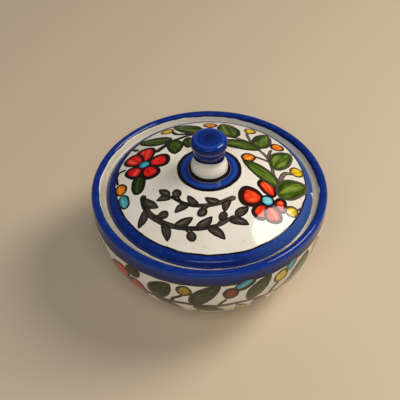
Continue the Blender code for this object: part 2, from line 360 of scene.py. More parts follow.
def glazeGround(name, bands, shades=(), lean=(0.0, 0.0), waver=0.35, streaked=True, mottle=0.7,
                paintedLightRight=None, joint=None, bare=()):
    # tin-white glazed earthenware with painted bands: milky, wet gloss. Places are in mm along the section
    # bands: (from, to, paint), where a fourth entry of "level" keeps one from leaning with the others
    # shades: deeper or paler cobalt, from thin or pooled glaze and as painted shade and painted highlight
    # (place, half width, how much, tone)
    # painted light on the right side, as cobalt that turns paler towards the right (from, to, how much)
    # joint: where the turning brush met its own start (azimuth and half width in degrees, how far the
    # paint slips there, from, to)
    g = glazeFinish
    material, tree, place = newFinish(name)
    along = addNode(tree, "ShaderNodeAttribute", attribute_name="along").outputs["Fac"]
    side = addNode(tree, "ShaderNodeSeparateXYZ", {"Vector": place})
    cloud = addNode(tree, "ShaderNodeTexNoise", {
        "Vector": place, "Scale": 1 / (g["cloudSize"] * mm), "Detail": 3.0})
    level, painted = brushPlaces(tree, place, along, side, lean, waver, joint)
    cobalt = cobaltCoat(tree, place, along, side, shades, streaked, mottle, paintedLightRight)
    coats = []
    for start, end, paint, *kept in bands:
        soft = g["bleedEdge"] if paint == "bleed" else g["bandEdge"]
        cover = coverBetween(tree, level if kept else painted, start, end, soft)
        coats.append((cover, cobalt if paint == "cobalt" else tone[paint]))
    shine = addNode(tree, "ShaderNodeMapRange", (
        cloud, *noiseSpan, *(g["roughness"] * share for share in g["thickThin"])))
    for start, end in bare:
        # wiped clean of glaze where it stands in the kiln: raw biscuit, matt and sandy
        cover = coverBetween(tree, along, start, end, g["bareEdge"], "LINEAR")
        coats.append((cover, tone["biscuit"]))
        shine = addNode(tree, "ShaderNodeMix", {"Factor": cover, "A": shine, "B": g["biscuit"]})
    glossOver(tree, place, coated(tree, whiteGround(tree, place, cloud), coats), shine)
    return material


# Bowl

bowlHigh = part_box("bowl")[1]
bowlShape = {
    "rimRadius": bowlHigh.x / mm, "height": bowlHigh.z / mm,
    "rimWall": 4.6, "straightDrop": 6.8,
    "sideTurn": 37.5, "baseCurve": 30.0, "wall": 5.0,
    "footRadius": 34.0, "footWidth": 4.6, "footRecess": 2.1, "footRound": 0.8,
    "galleryDepth": 6.7, "galleryThickness": 3.6, "mouthRadius": 47.8, "undercut": 6.0, "fillet": 1.2,
    "nose": 1.0,
    "underPull": (0.5, 0.6, 0.2),    # shares of the undercut by which its curve is pulled
    "throwingDepth": 0.10,   # mm, how deep the fingers' rings stand in the inside wall
    "throwingPitch": 3.1,
    "wiped": 0.35,           # mm up from the table to which the foot is bare
    "turnSteps": 256, "sway": 0.0020, "swayLength": 60, "seed": 2.0,
}


def bowlSection(shape):
    b = SimpleNamespace(**shape)
    turn = math.sin(math.radians(b.sideTurn))
    sideZ = b.height - b.straightDrop
    sideR = (sideZ - b.footRecess - b.baseCurve * (1 - turn)) / turn
    sideX = b.rimRadius - sideR
    baseX = sideX + (sideR - b.baseCurve) * math.cos(math.radians(b.sideTurn))
    baseZ = sideZ - (sideR - b.baseCurve) * turn
    ledge = b.height - b.galleryDepth
    noseZ = ledge - b.galleryThickness
    underDrop = b.galleryDepth + b.galleryThickness + b.undercut
    underTurn = math.degrees(math.asin((underDrop - b.straightDrop) / (sideR - b.wall)))
    footTurn = math.degrees(math.acos((b.footRadius - baseX) / b.baseCurve))
    galleryR = b.rimRadius - b.rimWall
    roll = b.rimWall / 2
    noseR = b.mouthRadius + b.nose
    footIn = b.footRadius - b.footWidth

    floor = linePoints((0, b.footRecess + b.wall), (baseX, b.footRecess + b.wall), step=1.4)
    inside = (arcPoints(baseX, baseZ, b.baseCurve - b.wall, -90, -b.sideTurn)
              + arcPoints(sideX, sideZ, sideR - b.wall, -b.sideTurn, -underTurn))
    inside = [(r - b.throwingDepth * (0.5 + 0.5 * math.sin(z * math.tau / b.throwingPitch)), z)
              for r, z in inside]
    top = inside[-1]
    up, out, down = (pull * b.undercut for pull in b.underPull)
    under = easePoints(top, (top[0], top[1] + up), (noseR + out, noseZ - down), (noseR, noseZ))
    noseLow = arcPoints(noseR, noseZ + b.nose, b.nose, -90, -180, step=0.25)
    noseHigh = arcPoints(noseR, ledge - b.nose, b.nose, 180, 90, step=0.25)
    shelf = linePoints(noseHigh[-1], (galleryR - b.fillet, ledge))
    fillet = arcPoints(galleryR - b.fillet, ledge + b.fillet, b.fillet, -90, 0, step=0.25)
    riser = linePoints(fillet[-1], (galleryR, b.height - roll), step=0.5)
    rim = arcPoints(galleryR + roll, b.height - roll, roll, 180, 0, step=0.22)
    drop = linePoints(rim[-1], (b.rimRadius, sideZ), step=0.5)
    outside = (arcPoints(sideX, sideZ, sideR, 0, -b.sideTurn)
               + arcPoints(baseX, baseZ, b.baseCurve, -b.sideTurn, -footTurn))
    footRing = (arcPoints(b.footRadius - b.footRound, b.footRound, b.footRound, 0, -90, step=0.25)
                + arcPoints(footIn + b.footRound, b.footRound, b.footRound, -90, -180, step=0.25))
    recess = linePoints((footIn, b.footRecess), (0, b.footRecess), step=1.4)
    return joinSection(floor, inside, under, noseLow, noseHigh, shelf, fillet, riser, rim, drop, outside,
                       footRing, recess)


bowlProfile = bowlSection(bowlShape)
bowlLengths = lengthsFrom(bowlProfile, max(range(len(bowlProfile)), key=lambda i: bowlProfile[i][1]))
foot = [length for (r, z), length in zip(bowlProfile, bowlLengths) if z < bowlShape["wiped"]]
bowlGlaze = glazeGround("tinWhiteGlazedBowl", [
    (-2.9, 9.2, "cobalt"),      # over the rolled rim, from just inside it to the foot of the straight band
    (8.9, 9.9, "ink"),
], shades=[
    # painted shade on the inside of the rolled rim, turned away from the light
    (-2.4, 1.5, 0.8, "cobaltDeep"),
    # paler on the roll's outer shoulder: glaze thinning over the edge, and a painted highlight
    (2.6, 2.0, 0.35, "cobaltThinAndSheen"),
    # painted shade on the straight band, which faces down and out
    (7.6, 3.4, 0.75, "cobaltDeep"),
], lean=(0.95, 0.0), joint=(-4.5, 9.0, -1.9, -20, 4), bare=[(min(foot), max(foot))])
glazedBowl = turnPiece("glazedBowl", bowlProfile, bowlLengths, bowlShape, bowlGlaze)
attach(glazedBowl, "bowl")
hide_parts("bowl")
print("bowl turned:", len(glazedBowl.data.polygons), "faces")


# Lid

lidLow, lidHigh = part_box("lid")
lidShape = {
    "radius": lidHigh.x / mm, "seat": lidLow.z / mm,
    "edgeRound": 2.0, "shoulderWidth": 4.95, "shoulderHeight": 7.3, "height": 18.4,
    "wall": 4.2, "seatWidth": 4.2, "hollowCorner": 3.8,
    "shoulderPull": (0.5, 0.45), "cornerPull": (0.6, 0.5),   # shares of the width of what they bend
    "wiped": 0.3,            # mm up from the seat to which it is bare
    "turnSteps": 256, "sway": 0.0020, "swayLength": 55, "seed": 5.0,
}


def lidSection(shape):
    d = SimpleNamespace(**shape)
    shoulderR = d.radius - d.shoulderWidth
    shoulderZ = d.seat + d.shoulderHeight
    rise = d.height - d.shoulderHeight
    domeR = (shoulderR ** 2 + rise ** 2) / (2 * rise)
    domeZ = d.seat + d.height - domeR
    fall = math.asin(shoulderR / domeR)
    dome = arcPoints(0, domeZ, domeR, 90, 90 - math.degrees(fall), step=0.6)
    edgeZ = d.seat + d.edgeRound
    out, up = (pull * d.shoulderWidth for pull in d.shoulderPull)
    shoulder = easePoints(dome[-1], (shoulderR + out * math.cos(fall), shoulderZ - out * math.sin(fall)),
                          (d.radius, edgeZ + up), (d.radius, edgeZ), step=0.3)
    edge = arcPoints(d.radius - d.edgeRound, edgeZ, d.edgeRound, 0, -90, step=0.3)
    seatIn = d.radius - d.edgeRound - d.seatWidth
    hollowR = seatIn - d.hollowCorner
    hollowFall = math.asin(hollowR / (domeR - d.wall))
    hollow = arcPoints(0, domeZ, domeR - d.wall, 90 - math.degrees(hollowFall), 90, step=0.8)
    up, back = (pull * d.hollowCorner for pull in d.cornerPull)
    corner = easePoints((seatIn, d.seat), (seatIn, d.seat + up),
                        (hollowR + back * math.cos(hollowFall), hollow[0][1] - back * math.sin(hollowFall)),
                        hollow[0])
    return joinSection(dome, shoulder, edge, linePoints(edge[-1], corner[0]), corner, hollow)


lidProfile = lidSection(lidShape)
lidLengths = lengthsFrom(lidProfile)
seatRing = [length for (r, z), length in zip(lidProfile, lidLengths)
            if z < lidShape["seat"] + lidShape["wiped"]]


def overLid(radius):
    # how far over the lid's top, from its middle, this radius lies
    return next(length for (r, z), length in zip(lidProfile, lidLengths) if r >= radius)


lidGlaze = glazeGround("tinWhiteGlazedLid", [
    (overLid(15.6), overLid(16.05), "bleed", "level"),    # thin cobalt that ran out past the ring in the kiln
    (overLid(10.2), overLid(15.0), "cobalt", "level"),
    (0.0, overLid(10.7), "ink", "level"),
    (overLid(14.3), overLid(16.0), "ink", "level"),
    (overLid(48.4), overLid(52.6) + 1.0, "cobalt"),       # a mm down over the edge
    (overLid(47.8), overLid(48.7), "ink"),
], shades=[
    # painted reflection: paler across the middle of the ring round the knob
    (overLid(12.8), 1.8, 0.6, "cobaltThinAndSheen"),
    # painted shade, darker down the steep outer shoulder towards the gap by the rim
    (overLid(52.0), 3.2, 0.5, "cobaltDeep"),
# painted light: the lid's cobalt turns paler towards the right
], lean=(-0.9, 0.0), waver=0.28, paintedLightRight=(12, 46, 0.42), joint=(-6.0, 3.2, 3.5, overLid(49), 90),
    bare=[(min(seatRing), max(seatRing))])
glazedLid = turnPiece("glazedLid", lidProfile, lidLengths, lidShape, lidGlaze)
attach(glazedLid, "lid")
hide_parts("lid")
print("lid turned:", len(glazedLid.data.polygons), "faces")


# Knob

knobLow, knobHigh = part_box("knob")
knobShape = {
    "foot": knobLow.z / mm, "top": knobHigh.z / mm,
    "footRadius": 9.6, "collarRadius": 9.3, "collarHeight": 1.8, "flareHeight": 5.4, "waistRadius": 7.55,
    "neckHeight": 7.3, "neckSwell": 0.6, "creaseRadius": 7.7, "lipHeight": 2.3,
    "headRadius": 9.25, "headDrop": 3.3, "crownRadius": 6.6, "crownRise": 0.4,
    "skirtReach": 0.7, "skirtDrop": 0.75,   # slip wiped round the joint runs into the lid
    # shares of their width and height by which the curves are pulled
    "crownPull": (0.5, 0.8, 0.3), "browPull": (0.6, 1.6, 0.45), "lipPull": (0.55, 0.75, 0.15),
    "neckPull": (0.25, 0.4), "flarePull": (0.35, 0.45), "skirtPull": (0.5, 0.1),
    "paintEdge": 76.2,       # height where the cobalt stops at the neck's sides
    "turnSteps": 128, "sway": 0.0060, "swayLength": 12, "seed": 8.0,
}


def knobSection(shape):
    k = SimpleNamespace(**shape)
    headZ = k.top - k.headDrop
    creaseZ = headZ - k.lipHeight
    waistZ = creaseZ - k.neckHeight
    collarZ = k.foot + k.collarHeight
    brow = k.headRadius - k.crownRadius
    lipDepth = k.headRadius - k.creaseRadius
    crownEdge = (k.crownRadius, k.top - k.crownRise)
    head, crease = (k.headRadius, headZ), (k.creaseRadius, creaseZ)
    waist, collar = (k.waistRadius, waistZ), (k.collarRadius, collarZ)
    near, far, down = k.crownPull
    crown = easePoints((0, k.top), (near * k.crownRadius, k.top),
                       (far * k.crownRadius, k.top - down * k.crownRise), crownEdge, step=0.35)
    out, down, up = k.browPull
    shoulder = easePoints(crownEdge, (k.crownRadius + out * brow, k.top - down * k.crownRise),
                          (k.headRadius, headZ + up * k.headDrop), head, step=0.2)
    down, out, up = k.lipPull
    lip = easePoints(head, (k.headRadius, headZ - down * k.lipHeight),
                     (k.creaseRadius + out * lipDepth, creaseZ + up * k.lipHeight), crease, step=0.18)
    down, up = k.neckPull
    neck = easePoints(crease, (k.creaseRadius + k.neckSwell, creaseZ - down * k.neckHeight),
                      (k.waistRadius, waistZ + up * k.neckHeight), waist, step=0.25)
    down, up = k.flarePull
    flare = easePoints(waist, (k.waistRadius, waistZ - down * k.flareHeight),
                       (k.collarRadius, collarZ + up * k.flareHeight), collar, step=0.25)
    up, down = k.skirtPull
    skirt = easePoints(flare[-1], (k.collarRadius, k.foot + up), (k.footRadius, k.foot - down),
                       (k.footRadius + k.skirtReach, k.foot - k.skirtDrop), step=0.2)
    sole = linePoints(skirt[-1], (0, k.foot - k.skirtDrop), step=1.2)
    return joinSection(crown, shoulder, lip, neck, flare, skirt, sole)


knobProfile = knobSection(knobShape)
knobLengths = lengthsFrom(knobProfile)


def downKnob(height):
    # how far down the knob's outside from the middle of its crown this height lies
    return next(length for (r, z), length in zip(knobProfile, knobLengths)
                if z <= height and r > knobShape["crownRadius"])


knobGlaze = glazeGround("cobaltGlazedKnob", [
    (-1.0, downKnob(knobShape["paintEdge"]), "cobalt"),
    (downKnob(70.6), knobLengths[-1], "ink", "level"),
], shades=[
    (0.0, 6.2, 0.85, "cobaltDeep"),
    # painted reflection: a pale ring round the edge of the crown
    (7.0, 1.3, 0.65, "cobaltThinAndSheen"),
    (downKnob(87.0), 1.8, 0.8, "cobaltDeep"),
    # painted shade on the neck under the head
    (downKnob(80.0), 4.4, 0.9, "cobaltDeep"),
    # painted reflection: a pale line along the underside of the head's rim
    (downKnob(85.1), 0.75, 0.85, "cobaltLipReflection"),
], lean=(-3.6, -20.0), waver=0.22, streaked=False, mottle=0.55)
glazedKnob = turnPiece("glazedKnob", knobProfile, knobLengths, knobShape, knobGlaze)
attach(glazedKnob, "lid")
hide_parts("knob")
print("knob turned:", len(glazedKnob.data.polygons), "faces")


# Paint: flat brushwork laid onto the glaze

# Flat paint in the plane of a drawing. On the lid the drawing is the view from above. On the wall it is
# unrolled, with x round the rim and y the height.
clearOf = 0.2  # metres, paint is dropped onto the pot from this far out


def openEdges(tree):
    # edges with a face on one side only
    faces = addNode(tree, "GeometryNodeInputMeshEdgeNeighbors")
    return addNode(tree, "FunctionNodeCompare", {"A": faces, "B": 1}, data_type="INT", operation="EQUAL")


layTree, layIn = newTree("layOnGlaze", {
    "Geometry": ("Geometry", None),
    "Ground": ("Object", None),
    "Round Wall": ("Bool", False),
    "Rim Radius": ("Float", bowlHigh.x),
    "Lift": ("Float", 0.03 * mm),
    "Skirt Lift": ("Float", -0.04 * mm),    # the paint's cut edge goes down into the glaze
    "Waver": ("Float", 0.4 * mm),    # how far the hand shakes
    "Waver Length": ("Float", 5 * mm),
})
t = layTree
isEdge = openEdges(t)
liftStored = addNode(t, "GeometryNodeStoreNamedAttribute", {
    "Geometry": layIn["Geometry"], "Name": "lift", "Value": layIn["Lift"]})
edgeStored = addNode(t, "GeometryNodeStoreNamedAttribute", {
    "Geometry": liftStored, "Name": "paintEdge", "Value": isEdge}, data_type="BOOLEAN", domain="EDGE")
skirted = addNode(t, "GeometryNodeExtrudeMesh", {
    "Mesh": edgeStored, "Selection": isEdge, "Offset Scale": 0.0}, mode="EDGES")
sunk = addNode(t, "GeometryNodeStoreNamedAttribute", {
    "Geometry": skirted.outputs["Mesh"], "Selection": skirted.outputs["Top"], "Name": "lift",
    "Value": layIn["Skirt Lift"]})
flatPlace = addNode(t, "GeometryNodeInputPosition")
waverPlace = addNode(t, "ShaderNodeVectorMath", (flatPlace, layIn["Waver Length"]), operation="DIVIDE")
waverNoise = addNode(t, "ShaderNodeTexNoise", {"Vector": waverPlace, "Scale": 1.0, "Detail": 1.5})
centred = addNode(t, "ShaderNodeVectorMath", (waverNoise.outputs["Color"], (0.5, 0.5, 0.5)),
                  operation="SUBTRACT")
inPlane = addNode(t, "ShaderNodeVectorMath", (centred, (2, 2, 0)), operation="MULTIPLY")
handShake = addNode(t, "ShaderNodeVectorMath", {0: inPlane, "Scale": layIn["Waver"]}, operation="SCALE")
shaky = addNode(t, "ShaderNodeVectorMath", (flatPlace, handShake), operation="ADD")
xy = addNode(t, "ShaderNodeSeparateXYZ", {"Vector": shaky})
fromTop = addNode(t, "ShaderNodeCombineXYZ", (xy.outputs["X"], xy.outputs["Y"], clearOf))
roundAngle = addNode(t, "ShaderNodeMath", (xy.outputs["X"], layIn["Rim Radius"]), operation="DIVIDE")
inward = addNode(t, "ShaderNodeVectorRotate", {"Vector": (0, 1, 0), "Angle": roundAngle},
                 rotation_type="Z_AXIS")
outside = addNode(t, "ShaderNodeVectorMath", {0: inward, "Scale": -clearOf}, operation="SCALE")
fromSideXY = addNode(t, "ShaderNodeSeparateXYZ", {"Vector": outside})
fromSide = addNode(t, "ShaderNodeCombineXYZ", (fromSideXY.outputs["X"], fromSideXY.outputs["Y"],
                                               xy.outputs["Y"]))
source = addNode(t, "GeometryNodeSwitch", {
    "Switch": layIn["Round Wall"], "False": fromTop, "True": fromSide}, input_type="VECTOR")
down = addNode(t, "GeometryNodeSwitch", {
    "Switch": layIn["Round Wall"], "False": (0, 0, -1), "True": inward}, input_type="VECTOR")
ground = addNode(t, "GeometryNodeObjectInfo", {"Object": layIn["Ground"]}, transform_space="RELATIVE")
touch = addNode(t, "GeometryNodeRaycast", {
    "Target Geometry": ground.outputs["Geometry"], "Source Position": source, "Ray Direction": down,
    "Ray Length": 1.0})
liftBack = addNode(t, "GeometryNodeInputNamedAttribute", {"Name": "lift"})
raised = addNode(t, "ShaderNodeVectorMath", {0: touch.outputs["Hit Normal"], "Scale": liftBack},
                 operation="SCALE")
onGlaze = addNode(t, "ShaderNodeVectorMath", (touch.outputs["Hit Position"], raised), operation="ADD")
laid = addNode(t, "GeometryNodeSetPosition", {"Geometry": sunk, "Position": onGlaze})
smooth = addNode(t, "GeometryNodeSetShadeSmooth", {"Geometry": laid})
edgeBack = addNode(t, "GeometryNodeInputNamedAttribute", {"Name": "paintEdge"}, data_type="BOOLEAN")
crisp = addNode(t, "GeometryNodeSetShadeSmooth", {
    "Geometry": smooth, "Selection": edgeBack, "Shade Smooth": False}, domain="EDGE")
addNode(t, "NodeGroupOutput", (crisp,))


def laidOn(tree, geometry, given, lift):
    # hands a piece's paint to the tree above, with this tree's own inputs of the same names
    shared = {label: given[label] for label in ("Ground", "Round Wall", "Waver")}
    return addNode(tree, "GeometryNodeGroup", {"Geometry": geometry, **shared, "Lift": lift},
                   node_tree=layTree)


# One dab of the brush: a sheet one long and one wide, pointed or round at its ends, where points that
# come together are made one
dabTree, dabIn = newTree("brushDab", {
    "Pointed": ("Float", 0.8),
    "Fullest": ("Float", 1.0),
    "Steps Along": ("Int", 22),
    "Steps Across": ("Int", 11),
})
t = dabTree
sheet = addNode(t, "GeometryNodeMeshGrid", {
    "Vertices X": dabIn["Steps Along"], "Vertices Y": dabIn["Steps Across"]})
flatPlace = addNode(t, "GeometryNodeInputPosition")
sheetXY = addNode(t, "ShaderNodeSeparateXYZ", {"Vector": flatPlace})
even = addNode(t, "ShaderNodeMath", (sheetXY.outputs["X"], 0.5), operation="ADD")
swing = addNode(t, "ShaderNodeMath", (even, math.pi), operation="MULTIPLY")
cosine = addNode(t, "ShaderNodeMath", (swing,), operation="COSINE")
dabAlong = addNode(t, "ShaderNodeMath", (cosine, -0.5, 0.5), operation="MULTIPLY_ADD", use_clamp=True)
dabAcross = addNode(t, "ShaderNodeMath", (sheetXY.outputs["Y"], 2.0), operation="MULTIPLY")
skewed = addNode(t, "ShaderNodeMath", (dabAlong, dabIn["Fullest"]), operation="POWER", use_clamp=True)
rest = addNode(t, "ShaderNodeMath", (1.0, skewed), operation="SUBTRACT")
arch = addNode(t, "ShaderNodeMath", (skewed, rest), operation="MULTIPLY")
tallArch = addNode(t, "ShaderNodeMath", (arch, 4.0), operation="MULTIPLY", use_clamp=True)
girth = addNode(t, "ShaderNodeMath", (tallArch, dabIn["Pointed"]), operation="POWER")
widened = addNode(t, "ShaderNodeMath", (sheetXY.outputs["Y"], girth), operation="MULTIPLY")
dabPlace = addNode(t, "ShaderNodeCombineXYZ", (dabAlong, widened))
marked = sheet
for name, value in {"along": dabAlong, "across": dabAcross}.items():
    marked = addNode(t, "GeometryNodeStoreNamedAttribute", {"Geometry": marked, "Name": name, "Value": value})
dabShaped = addNode(t, "GeometryNodeSetPosition", {"Geometry": marked, "Position": dabPlace})
dabClosed = addNode(t, "GeometryNodeMergeByDistance", {"Geometry": dabShaped, "Distance": 0.0001})
addNode(t, "NodeGroupOutput", (dabClosed,))

# Dabs set out on points that carry heading, reach, girth, bow and border
dabsTree, dabsIn = newTree("setOutDabs", {
    "Geometry": ("Geometry", None),
    "Pointed": ("Float", 0.8),
    "Fullest": ("Float", 1.0),
    "Ground": ("Object", None),
    "Round Wall": ("Bool", False),
    "Lift": ("Float", 0.03 * mm),
    "Lap": ("Float", 0.004 * mm),    # each dab stands this much over the one before it
    "Waver": ("Float", 0.4 * mm),
    "Paint": ("Material", None),
})
t = dabsTree
carried = {name: addNode(t, "GeometryNodeInputNamedAttribute", {"Name": name})
           for name in ("heading", "reach", "girth", "bow", "border", "along")}
dab = addNode(t, "GeometryNodeGroup", {label: dabsIn[label] for label in ("Pointed", "Fullest")},
              node_tree=dabTree)
turn = addNode(t, "ShaderNodeCombineXYZ", {"Z": carried["heading"]})
size = addNode(t, "ShaderNodeCombineXYZ", (carried["reach"], carried["girth"], 1.0))
index = addNode(t, "GeometryNodeInputIndex")
numbered = addNode(t, "GeometryNodeStoreNamedAttribute", {
    "Geometry": dabsIn["Geometry"], "Name": "dab", "Value": index}, data_type="INT")
setOut = addNode(t, "GeometryNodeInstanceOnPoints", {
    "Points": numbered, "Instance": dab, "Rotation": turn, "Scale": size})
real = addNode(t, "GeometryNodeRealizeInstances", (setOut,))
leftOver = addNode(t, "ShaderNodeMath", (1.0, carried["along"]), operation="SUBTRACT")
archAlong = addNode(t, "ShaderNodeMath", (carried["along"], leftOver), operation="MULTIPLY")
bowed = addNode(t, "ShaderNodeMath", (archAlong, carried["bow"]), operation="MULTIPLY")
sideways = addNode(t, "ShaderNodeCombineXYZ", {"Y": bowed})
bowTurned = addNode(t, "ShaderNodeVectorRotate", {"Vector": sideways, "Angle": carried["heading"]},
                    rotation_type="Z_AXIS")
bent = addNode(t, "GeometryNodeSetPosition", {"Geometry": real, "Offset": bowTurned})
isEdge = openEdges(t)
outline = addNode(t, "GeometryNodeSeparateGeometry", {"Geometry": bent, "Selection": isEdge}, domain="EDGE")
dabNumber = addNode(t, "GeometryNodeInputNamedAttribute", {"Name": "dab"}, data_type="INT")
gap = addNode(t, "GeometryNodeProximity", {
    "Geometry": outline.outputs["Selection"], "Group ID": dabNumber, "Sample Group ID": dabNumber},
    target_element="EDGES")
gapInMm = addNode(t, "ShaderNodeMath", (gap.outputs["Distance"], 1 / mm), operation="MULTIPLY")
towardsTip = addNode(t, "ShaderNodeMath", (carried["along"], carried["border"]), operation="MULTIPLY")
insideLine = addNode(t, "ShaderNodeMath", (gapInMm, towardsTip), operation="SUBTRACT")
gapStored = addNode(t, "GeometryNodeStoreNamedAttribute", {
    "Geometry": bent, "Name": "edgeGap", "Value": insideLine})
lapped = addNode(t, "ShaderNodeMath", (dabNumber, dabsIn["Lap"], dabsIn["Lift"]), operation="MULTIPLY_ADD")
endTree(t, laidOn(t, gapStored, dabsIn, lapped), dabsIn["Paint"])

# Lines drawn with the brush: mesh lines whose points carry press, the line's width there
linesTree, linesIn = newTree("drawLines", {
    "Geometry": ("Geometry", None),
    "Ground": ("Object", None),
    "Round Wall": ("Bool", False),
    "Lift": ("Float", 0.02 * mm),
    "Waver": ("Float", 0.3 * mm),
    "Step": ("Float", 0.45 * mm),    # length of a line's pieces
    "Bristles": ("Int", 7),          # points across a line
    "Blunt": ("Float", 0.7),         # share of the width over which a line's end rounds off
    "Paint": ("Material", None),
})
t = linesTree
press, widthBack, acrossBack = (addNode(t, "GeometryNodeInputNamedAttribute", {"Name": name})
                                for name in ("press", "brushWidth", "across"))
path = addNode(t, "GeometryNodeMeshToCurve", {"Mesh": linesIn["Geometry"]})
curved = addNode(t, "GeometryNodeCurveSplineType", {"Curve": path}, spline_type="CATMULL_ROM")
even = addNode(t, "GeometryNodeResampleCurve", {"Curve": curved, "Length": linesIn["Step"]}, mode="LENGTH")
upright = addNode(t, "GeometryNodeSetCurveNormal", {"Curve": even}, mode="Z_UP")
spline = addNode(t, "GeometryNodeSplineParameter")
whole = addNode(t, "GeometryNodeSplineLength")
toEnd = addNode(t, "ShaderNodeMath", (whole.outputs["Length"], spline.outputs["Length"]),
                operation="SUBTRACT")
nearEnd = addNode(t, "ShaderNodeMath", (toEnd, spline.outputs["Length"]), operation="MINIMUM")
rounding = addNode(t, "ShaderNodeMath", (press, linesIn["Blunt"]), operation="MULTIPLY")
share = addNode(t, "ShaderNodeMath", (nearEnd, rounding), operation="DIVIDE", use_clamp=True)
missing = addNode(t, "ShaderNodeMath", (1.0, share), operation="SUBTRACT")
squared = addNode(t, "ShaderNodeMath", (missing, missing), operation="MULTIPLY")
kept = addNode(t, "ShaderNodeMath", (1.0, squared), operation="SUBTRACT")
rounded = addNode(t, "ShaderNodeMath", (kept,), operation="SQRT")
brushWidth = addNode(t, "ShaderNodeMath", (rounded, press), operation="MULTIPLY")
marked = addNode(t, "GeometryNodeStoreNamedAttribute", {
    "Geometry": upright, "Name": "brushWidth", "Value": brushWidth})
bristles = addNode(t, "GeometryNodeCurvePrimitiveLine", {"Start": (-0.5, 0, 0), "End": (0.5, 0, 0)})
bristleSteps = addNode(t, "GeometryNodeResampleCurve", {"Curve": bristles, "Count": linesIn["Bristles"]},
                       mode="COUNT")
bristlePlace = addNode(t, "GeometryNodeSplineParameter")
bristleAcross = addNode(t, "ShaderNodeMath", (bristlePlace.outputs["Factor"], 2.0, -1.0),
                        operation="MULTIPLY_ADD")
bristleMarked = addNode(t, "GeometryNodeStoreNamedAttribute", {
    "Geometry": bristleSteps, "Name": "across", "Value": bristleAcross})
ribbon = addNode(t, "GeometryNodeCurveToMesh", {
    "Curve": marked, "Profile Curve": bristleMarked, "Scale": widthBack})
offMiddle = addNode(t, "ShaderNodeMath", (acrossBack,), operation="ABSOLUTE")
fromEdge = addNode(t, "ShaderNodeMath", (1.0, offMiddle), operation="SUBTRACT")
gapShare = addNode(t, "ShaderNodeMath", (fromEdge, widthBack), operation="MULTIPLY")
gapInMm = addNode(t, "ShaderNodeMath", (gapShare, 0.5 / mm), operation="MULTIPLY")
gapStored = addNode(t, "GeometryNodeStoreNamedAttribute", {
    "Geometry": ribbon, "Name": "edgeGap", "Value": gapInMm})
ribbonClosed = addNode(t, "GeometryNodeMergeByDistance", {"Geometry": gapStored, "Distance": 2 * weld})
endTree(t, laidOn(t, ribbonClosed, linesIn, linesIn["Lift"]), linesIn["Paint"])
print("paint trees ready")


# Paints. Each is a pigment under the clear glaze, with an outline that the liner brush left round it: the
# finish, its deep, body and light tones, the outline, its width in mm, and for some the tone of their
# outline where it ran dry and a tint that darkens them towards the left as painted shade
paints = {
    "leaf": ("copperGreenLeaf", "#26390a", "#486411", "#84983f", "#222409", 1.10,
             {"lineDry": "#5c5745", "full": "#c8c4b4"}),
    # the frieze's green has thicker outlines and is greyer and darker as painted shade on the lower wall
    "leafBelow": ("copperGreenLeafBelow", "#26330a", "#434f1a", "#74803f", "#373024", 1.75,
                  {"full": "#a0a888"}),
    # a darker green for the blunt leaf on the left: painted shade
    "leafShaded": ("copperGreenLeafShaded", "#132004", "#253809", "#43591c", "#1c1b0a", 1.10),
    "petal": ("ironRedPetal", "#c40a03", "#e31c0a", "#f0614a", "#150a08", 1.20),
    "petalBelow": ("ironRedPetalBelow", "#a80500", "#cf0e05", "#e2462c", "#0e0806", 1.45),
    # the lighter red and turquoise are for the flower on the lid's right, where the light falls: painted
    # light
    "petalLit": ("ironRedPetalLit", "#dc2a0a", "#f04a1c", "#f88c5c", "#2a110b", 1.20),
    "heart": ("turquoiseHeart", "#1f7f97", "#3fa9c2", "#86d3de", "#0e0c0b", 1.15),
    "heartLit": ("turquoiseHeartLit", "#4fb0c4", "#7ed0dc", "#bcecef", "#0e0c0b", 1.05),
    "turquoise": ("turquoiseBud", "#2f8a98", "#4ba8b4", "#a5dad6", "#2b211a", 0.90),
    "yellow": ("antimonyYellowBud", "#c59d10", "#ecca10", "#f8ea70", "#332b16", 1.05,
               {"lineDry": "#5a4f35"}),
    "yellowBelow": ("antimonyYellowBudBelow", "#c59d10", "#ecca10", "#f8ea70", "#332b16", 1.05,
                    {"full": "#a8a294"}),
    "orange": ("orangeBud", "#d2680a", "#f58c10", "#fab54e", "#2a1c10", 1.10),
    "rust": ("rustBud", "#8e330e", "#b44a1b", "#cc6e34", "#2a1c12", 1.30, {"full": "#6e645c"}),
    "ink": ("manganeseInkDab", "#332d26", "#4c453b", "#7a7264", "#26201a", 0.75),
}
brushwork = {
    "strokes": (1.6, 2.4, 3.7),   # strokes along a dab, across half of it, and how unlike two dabs are
    "ramp": (0.36, 0.50, 0.68),   # where the paint is deep, body and light
    "pool": (1.6, -0.16, 0.02),   # mm from the outline in which the paint pools, and its load at both ends
    "outlineDry": (18, 48),       # across the pot in mm, where the outlines turn to their dry colour
    "full": (40, -16),            # across the pot in mm, where painted shade darkens the paint towards the left
    "lineShake": 2.6,             # mm from one waver of an outline to the next
    "lineWaver": 0.45,            # mm
    "lineEdge": (0.20, 0.25),     # mm, how soft an outline's edge is, outwards and inwards
    "inkPatch": 17,               # mm from one dry patch of a drawn line to the next
    "inkUneven": 0.8,
    "inkMiddle": (0.5, 0.12),     # mm from a line's edge to its dry middle, and how dry the edge is
}
# the liner ran dry towards the right of the lid, over this stretch in mm; on the wall it ran dry more slowly
# and stayed dark
lineInks = {
    "lid": {"name": "manganeseInkLine", "dark": "#1e1a16", "thin": "#7a6e60", "edge": 0.34, "dry": (-8, 26)},
    "wall": {"name": "manganeseInkLineBelow", "dark": "#241d17", "thin": "#4c4034", "edge": 0.5,
             "dry": (-60, 60)},
}


